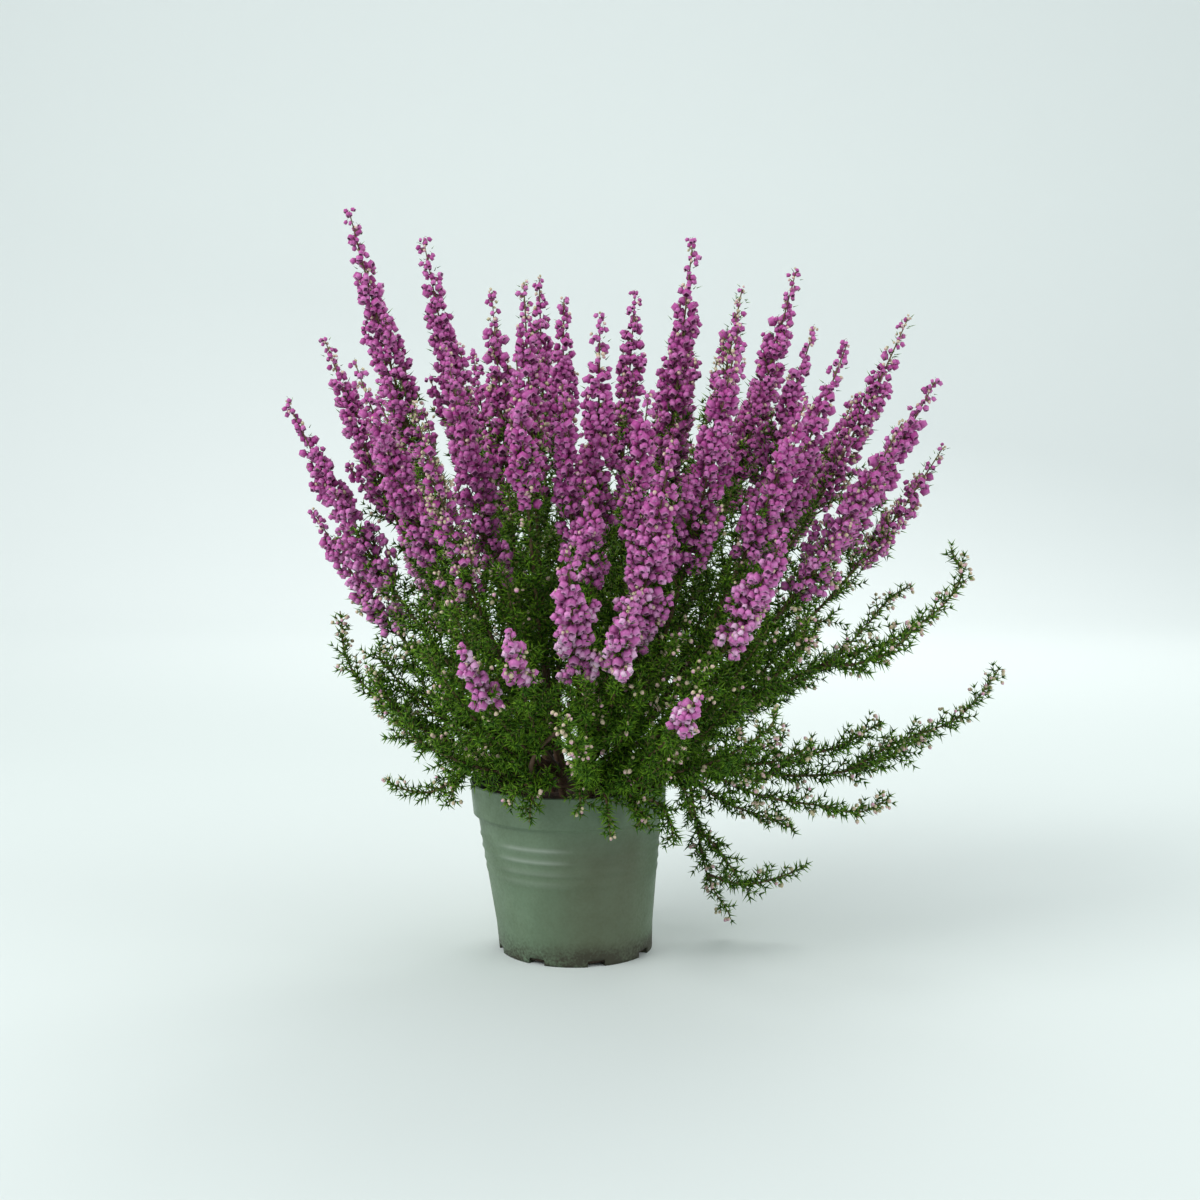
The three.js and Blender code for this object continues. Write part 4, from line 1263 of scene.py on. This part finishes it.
def pot_profile(ribs_proud):
    """The outer wall from foot to lip, as heights and radii: a straight wall with low round ribs, a
    quarter-round step out to the collar, and a collar that flares to a rolled lip."""
    wall_z = np.linspace(0, COLLAR_FOOT - STEP_DROP, 46)
    wall_r = body_radius(wall_z) + ribs_proud * rib_crests(wall_z).sum(axis=1)
    turn = np.linspace(0, np.pi / 2, 7)[1:]
    step_z = COLLAR_FOOT - STEP_DROP + STEP_RISE * np.sin(turn)
    step_r = body_radius(np.array(COLLAR_FOOT)) + COLLAR_STEP * (1 - np.cos(turn))
    flare = np.linspace(0.1, 1, 6)
    flare_z = step_z[-1] + flare * (POT_HEIGHT - LIP_RISE - step_z[-1])
    flare_r = step_r[-1] + flare * (COLLAR_FLARE - LIP_ROOM)
    roll = np.linspace(0, np.pi * 0.75, 8)[1:6]
    roll_z = flare_z[-1] + LIP_RISE * np.sin(np.minimum(roll, np.pi / 2))
    roll_r = flare_r[-1] + LIP_ROLL * np.sin(roll)
    heights = np.concatenate([wall_z, step_z, flare_z, roll_z])
    return heights, np.concatenate([wall_r, step_r, flare_r, roll_r])


def leaned_rings(radii, heights, turn):
    """A ring of points for each radius, at the given angles, and moved aside with height as the pot leans.
    heights holds a row for each ring."""
    heights = np.broadcast_to(heights, (len(radii), len(turn)))
    x = radii[:, None] * np.cos(turn) + POT_LEAN * heights / POT_HEIGHT
    return np.stack([x, radii[:, None] * np.sin(turn), heights], axis=-1).reshape(-1, 3)


def build_pot(sizes, colours):
    """The pot: the outer wall and the foot's disc are one open surface turned round Z and leaned with
    height, less the drain openings where wall and foot meet. Solidify gives it its thickness, inwards."""
    wall_z, wall_r = pot_profile(sizes.rib_proud)
    columns = 112
    turn = turns(columns)
    disc = np.array([0.1, 0.3, 0.5, 0.7, 0.86, 0.925, 0.97, 0.995]) * FOOT_RADIUS
    r = np.concatenate([disc, wall_r])
    z = np.concatenate([np.zeros(len(disc)), wall_z])
    points = np.vstack([leaned_rings(r, z[:, None], turn), [[0, 0, 0]]])
    quads = grid_faces(len(r), columns)
    middle_r = np.repeat(0.5 * (r[:-1] + r[1:]), columns)
    middle_z = np.repeat(0.5 * (z[:-1] + z[1:]), columns)
    middle_turn = np.tile(turn + np.pi / columns, len(r) - 1)
    phase = (middle_turn / (2 * np.pi) * DRAIN_COUNT - DRAIN_PHASE + 0.5) % 1 - 0.5
    near = np.abs(phase) * 2 * np.pi / DRAIN_COUNT * FOOT_RADIUS < 0.5 * DRAIN_WIDTH
    drain = near & (middle_z < DRAIN_HEIGHT) & (middle_r > FOOT_RADIUS - DRAIN_DEPTH)
    faces = [quads[~drain], fan_faces(len(points) - 1, np.arange(columns), False)]
    skin = Skin({"plastic": pot_material(colours)})
    # run carries each rib crest's share of the painted highlight
    skin.add((points, faces), "plastic", run=rib_crests(points[:, 2]) @ RIB_HIGHLIGHTS)
    wall = skin.build("pot_shell", "pot").modifiers.new("Wall", "SOLIDIFY")
    wall.thickness = sizes.wall
    wall.offset = -1
    wall.use_even_offset = True


def soil_height(x, y, edge):
    """The soil's top: a low mound with the solids' bumps and finer lumps on them."""
    u, v = x / MM, y / MM
    bump_height = 1.1 * np.sin(u * 0.21 + 1.3) * np.cos(v * 0.17) + 0.7 * np.sin(u * 0.43 - v * 0.39)
    mound = 2.5 * (1 - np.hypot(x, y) / edge)
    fine = 0.7 * lumps(u, v, 4.2, 1) + 0.45 * lumps(u, v, 1.9, 2) + 0.25 * lumps(u, v, 0.9, 3)
    return SOIL_TOP + (bump_height + mound + fine) * MM


def soil_plug(edge, gap):
    """The soil's body: a plug that fits the pot with a gap, and its lumpy top out to an edge."""
    turn = turns(84)
    side_z = np.array([gap, FOOT_TOP, COLLAR_FOOT - STEP_RISE, COLLAR_FOOT + 1.5 * MM])
    side_r = np.append(body_radius(side_z[:3]) - gap, edge - 0.2 * MM)
    top_r = np.sin(np.linspace(np.pi / 2, 0, 26)[:-1]) * edge
    top_z = soil_height(top_r[:, None] * np.cos(turn), top_r[:, None] * np.sin(turn), edge)
    r = np.concatenate([side_r, top_r])
    rings = leaned_rings(r, np.vstack([np.repeat(side_z[:, None], len(turn), 1), top_z]), turn)
    poles = [[0, 0, gap], [SOIL_LEAN, 0, top_z[-1].mean()]]
    return np.vstack([rings, poles]), capped_faces(len(r), len(turn))


def build_soil(sizes, colours, rng):
    """The soil with crumbs and a few fallen needles on it. The needles lie on the first of the crumbs."""
    low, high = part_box("soil")
    edge = 0.5 * (high[0] - low[0])
    skin = Skin({"peat": soil_material(colours), "litter": litter_material()}, rng)
    skin.add(soil_plug(edge, sizes.wall + SOIL_GAP), "peat", tint=0.3, run=0.5)
    count = sizes.crumbs
    radius = edge * np.sqrt(rng.random(count)) * 0.97
    angle = rng.random(count) * 2 * np.pi
    x, y = radius * np.cos(angle), radius * np.sin(angle)
    size = rng.lognormal(0.15, 0.42, count) * MM
    places = np.column_stack([x + SOIL_LEAN, y, soil_height(x, y, edge) - 0.35 * size])
    ways = rng.normal(0, 1, (count, 3))
    add_copies(skin, crumb_shape(), "peat", places, axes_from(ways, rng.normal(0, 1, (count, 3))),
               size[:, None] * rng.uniform(0.7, 1.2, (count, 3)))
    fallen = count // 5
    ways = unit(np.column_stack([rng.normal(0, 1, (fallen, 2)), rng.normal(0, 0.15, fallen)]))
    places = places[:fallen] + 0.9 * MM * UP
    width = np.full(fallen, 0.6 * MM)
    add_copies(skin, needle_shape(), "litter", places, axes_from(ways, np.cross(ways, UP)),
               np.column_stack([width, width, rng.uniform(3, 5, fallen) * MM]))
    skin.build("soil_peat", "soil")


# Settings that a user would change

def length_setting(name, description, default):
    """A length that the user can change."""
    return bpy.props.FloatProperty(name=name, description=description, default=default, unit="LENGTH")


def count_setting(name, description, default):
    """A number of things that the user can change."""
    return bpy.props.IntProperty(name=name, description=description, default=default)


def colour_setting(name, description, *default):
    """A colour that the user can change."""
    return bpy.props.FloatVectorProperty(name=name, description=description, default=default, subtype="COLOR")


class HeathBells(bpy.types.PropertyGroup):
    """Sizes of the bells."""
    bell_length: length_setting("Bell length", "Length of a full bell", 4.0 * MM)
    bell_width: length_setting("Bell width", "Width of a full bell", 3.3 * MM)
    spacing: length_setting("Bell spacing", "Distance between neighbouring bells", 4.9 * MM)
    cluster: count_setting("Bells in a cluster", "Number of bells on each branchlet", 6)


class HeathLeaves(bpy.types.PropertyGroup):
    """Sizes of needles and twigs."""
    needle_length: length_setting("Needle length", "Length of a full needle", 5.8 * MM)
    needle_width: length_setting("Needle width", "Width of a full needle", 1.4 * MM)
    whorl_spacing: length_setting("Whorl spacing", "Distance between whorls of needles", 2.9 * MM)
    twig_length: length_setting("Twig length", "Length of a full side twig in the bush", 25 * MM)
    twig_spacing: length_setting("Twig spacing", "Distance between twigs in the bush", 5.4 * MM)
    spray_twig_length: length_setting("Spray twig length", "Length of a full side twig on a spray", 15 * MM)
    spray_twig_spacing: length_setting("Spray twig spacing", "Distance between twigs on a spray", 3.3 * MM)


class HeathPot(bpy.types.PropertyGroup):
    """Sizes of the pot and its soil."""
    wall: length_setting("Wall", "Thickness of the pot's wall", 1.2 * MM)
    rib_proud: length_setting("Rib height", "How far the ribs stand out of the wall", 0.6 * MM)
    crumbs: count_setting("Crumbs", "Number of loose crumbs on the soil", 500)


class HeathColours(bpy.types.PropertyGroup):
    """Colours of the whole object."""
    bell: colour_setting("Bell", "Deep colour of the bells", 0.38, 0.033, 0.24)
    bell_pale: colour_setting("Pale bell", "Colour of pale bells", 0.74, 0.26, 0.6)
    bud: colour_setting("Bud", "Colour of closed buds", 0.62, 0.55, 0.33)
    needle: colour_setting("Needle", "Dark green of the needles", 0.03, 0.108, 0.004)
    needle_light: colour_setting("Light needle", "Light green of young needles", 0.28, 0.52, 0.025)
    bark: colour_setting("Bark", "Colour of the woody stems", 0.13, 0.075, 0.045)
    soil: colour_setting("Soil", "Colour of the peat", 0.035, 0.022, 0.014)
    pot: colour_setting("Pot", "Green of the pot", 0.088, 0.145, 0.08)
    # This colour is used for the dried peat and dust on the pot, and also for its band of painted shade
    pot_dirt_and_shade: colour_setting("Pot dirt", "Dried peat on the pot", 0.07, 0.07, 0.035)


class HeathStage(bpy.types.PropertyGroup):
    """Floor and light."""
    floor: colour_setting("Floor", "Colour of the floor", 0.62, 0.67, 0.65)
    backdrop: colour_setting("Backdrop", "Colour of the backdrop", 0.88, 0.92, 0.9)
    room: colour_setting("Room", "Colour of the light all round", 0.9, 0.97, 1.0)
    room_light: bpy.props.FloatProperty(name="Room light", default=0.66,
                                        description="Strength of the light all round")
    light: bpy.props.FloatProperty(name="Light", default=26, unit="POWER",
                                   description="Power of the main lamp")


# Operators

def plan():
    """The whole plant's plan: spires, stems, sprays and the room between them."""
    spires = [Spire(node) for node in sorted(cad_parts) if node.startswith("spire")]
    stems = grow_stems(spires)
    return spires, stems, grow_sprays(), Room(spires)


def dress_stems(scene, stems, room, length, spacing, habit):
    """Dresses stems or sprays, a piece for each. habit says how long their twigs are, how close they stand,
    how often they fork and the share of the outer ones that bear buds."""
    materials = plant_materials(("bark", "twig", "needle", "bud"), scene.heath_colours)
    habit = {"length": length, "spacing": spacing, **habit}
    for stem in stems:
        skin = Skin(materials, seeded(stem.node, start=500, step=17))
        dress_post(skin, stem)
        for shoot in stem.shoots:
            dress_shoot(skin, shoot, room, scene.heath_leaves, habit)
        skin.build(f"{stem.node}_leaves", stem.node)


class HEATH_OT_pot(bpy.types.Operator):
    """Builds the plastic pot"""
    bl_idname = "heath.pot"
    bl_label = "Pot"

    def execute(self, context):
        build_pot(context.scene.heath_pot, context.scene.heath_colours)
        return {"FINISHED"}


class HEATH_OT_soil(bpy.types.Operator):
    """Builds the soil with its crumbs"""
    bl_idname = "heath.soil"
    bl_label = "Soil"

    def execute(self, context):
        build_soil(context.scene.heath_pot, context.scene.heath_colours, np.random.default_rng(11))
        return {"FINISHED"}


class HEATH_OT_stems(bpy.types.Operator):
    """Builds the upright leafy stems"""
    bl_idname = "heath.stems"
    bl_label = "Leafy stems"

    def execute(self, context):
        _, stems, _, room = plan()
        leaves = context.scene.heath_leaves
        dress_stems(context.scene, stems, room, leaves.twig_length, leaves.twig_spacing, BUSH_HABIT)
        return {"FINISHED"}


class HEATH_OT_sprays(bpy.types.Operator):
    """Builds the trailing sprays"""
    bl_idname = "heath.sprays"
    bl_label = "Trailing sprays"

    def execute(self, context):
        _, _, sprays, room = plan()
        leaves = context.scene.heath_leaves
        length, spacing = leaves.spray_twig_length, leaves.spray_twig_spacing
        dress_stems(context.scene, sprays, room, length, spacing, SPRAY_HABIT)
        return {"FINISHED"}


class HEATH_OT_spires(bpy.types.Operator):
    """Builds the spires of bells"""
    bl_idname = "heath.spires"
    bl_label = "Spires of bells"

    def execute(self, context):
        scene = context.scene
        materials = plant_materials(("bell", "bud", "twig", "needle"), scene.heath_colours)
        for spire in plan()[0]:
            dress_spire(spire, scene.heath_bells, scene.heath_leaves, materials)
        return {"FINISHED"}


class HEATH_OT_stage(bpy.types.Operator):
    """Sets up the floor, the backdrop, the lamps and the camera"""
    bl_idname = "heath.stage"
    bl_label = "Stage"

    def execute(self, context):
        build_floor(context.scene.heath_stage)
        light_room(context.scene, context.scene.heath_stage)
        place_camera(context.scene)
        return {"FINISHED"}


def build_floor(settings):
    """A pale floor whose back sweeps up into a backdrop in a quarter circle."""
    turn = np.linspace(0, np.pi / 2, 12)
    sweep = SWEEP_START + SWEEP_RADIUS * np.sin(turn)
    y = np.concatenate([[FLOOR_FRONT], sweep, sweep[-1:]])
    z = np.concatenate([[0.0], SWEEP_RADIUS * (1 - np.cos(turn)), [BACKDROP_TOP]])
    points = [(x, *place) for place in zip(y, z) for x in (-STAGE_HALF_WIDTH, STAGE_HALF_WIDTH)]
    mesh = bpy.data.meshes.new("stage_floor")
    mesh.from_pydata(points, [], grid_faces(len(y), 2, False).tolist())
    mesh.shade_smooth()
    mesh.materials.append(floor_material(settings))
    floor = add_object("stage_floor", mesh)


def light_room(scene, settings):
    """A pale world and soft lamps: a broad one high on the left, a weaker one right and one behind."""
    scene.world = bpy.data.worlds.new("Pale room")
    scene.world.use_nodes = True
    background = scene.world.node_tree.nodes["Background"]
    background.inputs["Color"].default_value = (*settings.room, 1)
    background.inputs["Strength"].default_value = settings.room_light
    scene.view_settings.view_transform = "Standard"
    for name, (place, size, share) in LAMPS.items():
        lamp = bpy.data.lights.new(name, "AREA")
        lamp.energy = settings.light * share
        lamp.size = size
        holder = add_object(name, lamp)
        holder.location = place
        aim = LAMP_AIM - np.array(place)
        pitch = math.atan2(aim[2], math.hypot(aim[0], aim[1]))
        holder.rotation_euler = (math.pi / 2 + pitch, 0, math.atan2(aim[1], aim[0]) - math.pi / 2)


def place_camera(scene):
    """The camera, level across, a little above the plant's middle and tilted down."""
    camera = bpy.data.cameras.new("Camera")
    camera.sensor_width = SENSOR_MM
    camera.lens = FOCAL_PIXELS / IMAGE_PIXELS * SENSOR_MM
    camera.clip_start = 0.01
    scene.camera = add_object("Camera", camera)
    scene.camera.location = CAMERA_PLACE
    scene.camera.rotation_euler = (CAMERA_TILT, 0, 0)


class HEATH_PT_panel(bpy.types.Panel):
    """Lists the pieces and their settings"""
    bl_idname = "HEATH_PT_panel"
    bl_label = "Cape Heath"
    bl_space_type = "VIEW_3D"
    bl_region_type = "UI"
    bl_category = "Heath"

    def draw(self, context):
        for label, group in SETTINGS.items():
            box = self.layout.box()
            for name in group.__annotations__:
                box.prop(getattr(context.scene, label), name)
        for operator in OPERATORS:
            self.layout.operator(operator.bl_idname)


SETTINGS = {"heath_bells": HeathBells, "heath_leaves": HeathLeaves, "heath_pot": HeathPot,
            "heath_colours": HeathColours, "heath_stage": HeathStage}
OPERATORS = (HEATH_OT_pot, HEATH_OT_soil, HEATH_OT_stems, HEATH_OT_sprays, HEATH_OT_spires, HEATH_OT_stage)
CLASSES = (*SETTINGS.values(), *OPERATORS, HEATH_PT_panel)


def register():
    """Registers the classes and gives the scene its settings."""
    for each in CLASSES:
        bpy.utils.register_class(each)
    for label, group in SETTINGS.items():
        setattr(bpy.types.Scene, label, bpy.props.PointerProperty(type=group))


def unregister():
    """Takes back what register gave."""
    for label in SETTINGS:
        delattr(bpy.types.Scene, label)
    for each in reversed(CLASSES):
        bpy.utils.unregister_class(each)


def main():
    """Builds every piece and the stage."""
    register()
    bpy.ops.heath.pot()
    bpy.ops.heath.soil()
    bpy.ops.heath.stems()
    bpy.ops.heath.sprays()
    bpy.ops.heath.spires()
    bpy.ops.heath.stage()
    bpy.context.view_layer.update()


if __name__ == "__main__":
    main()
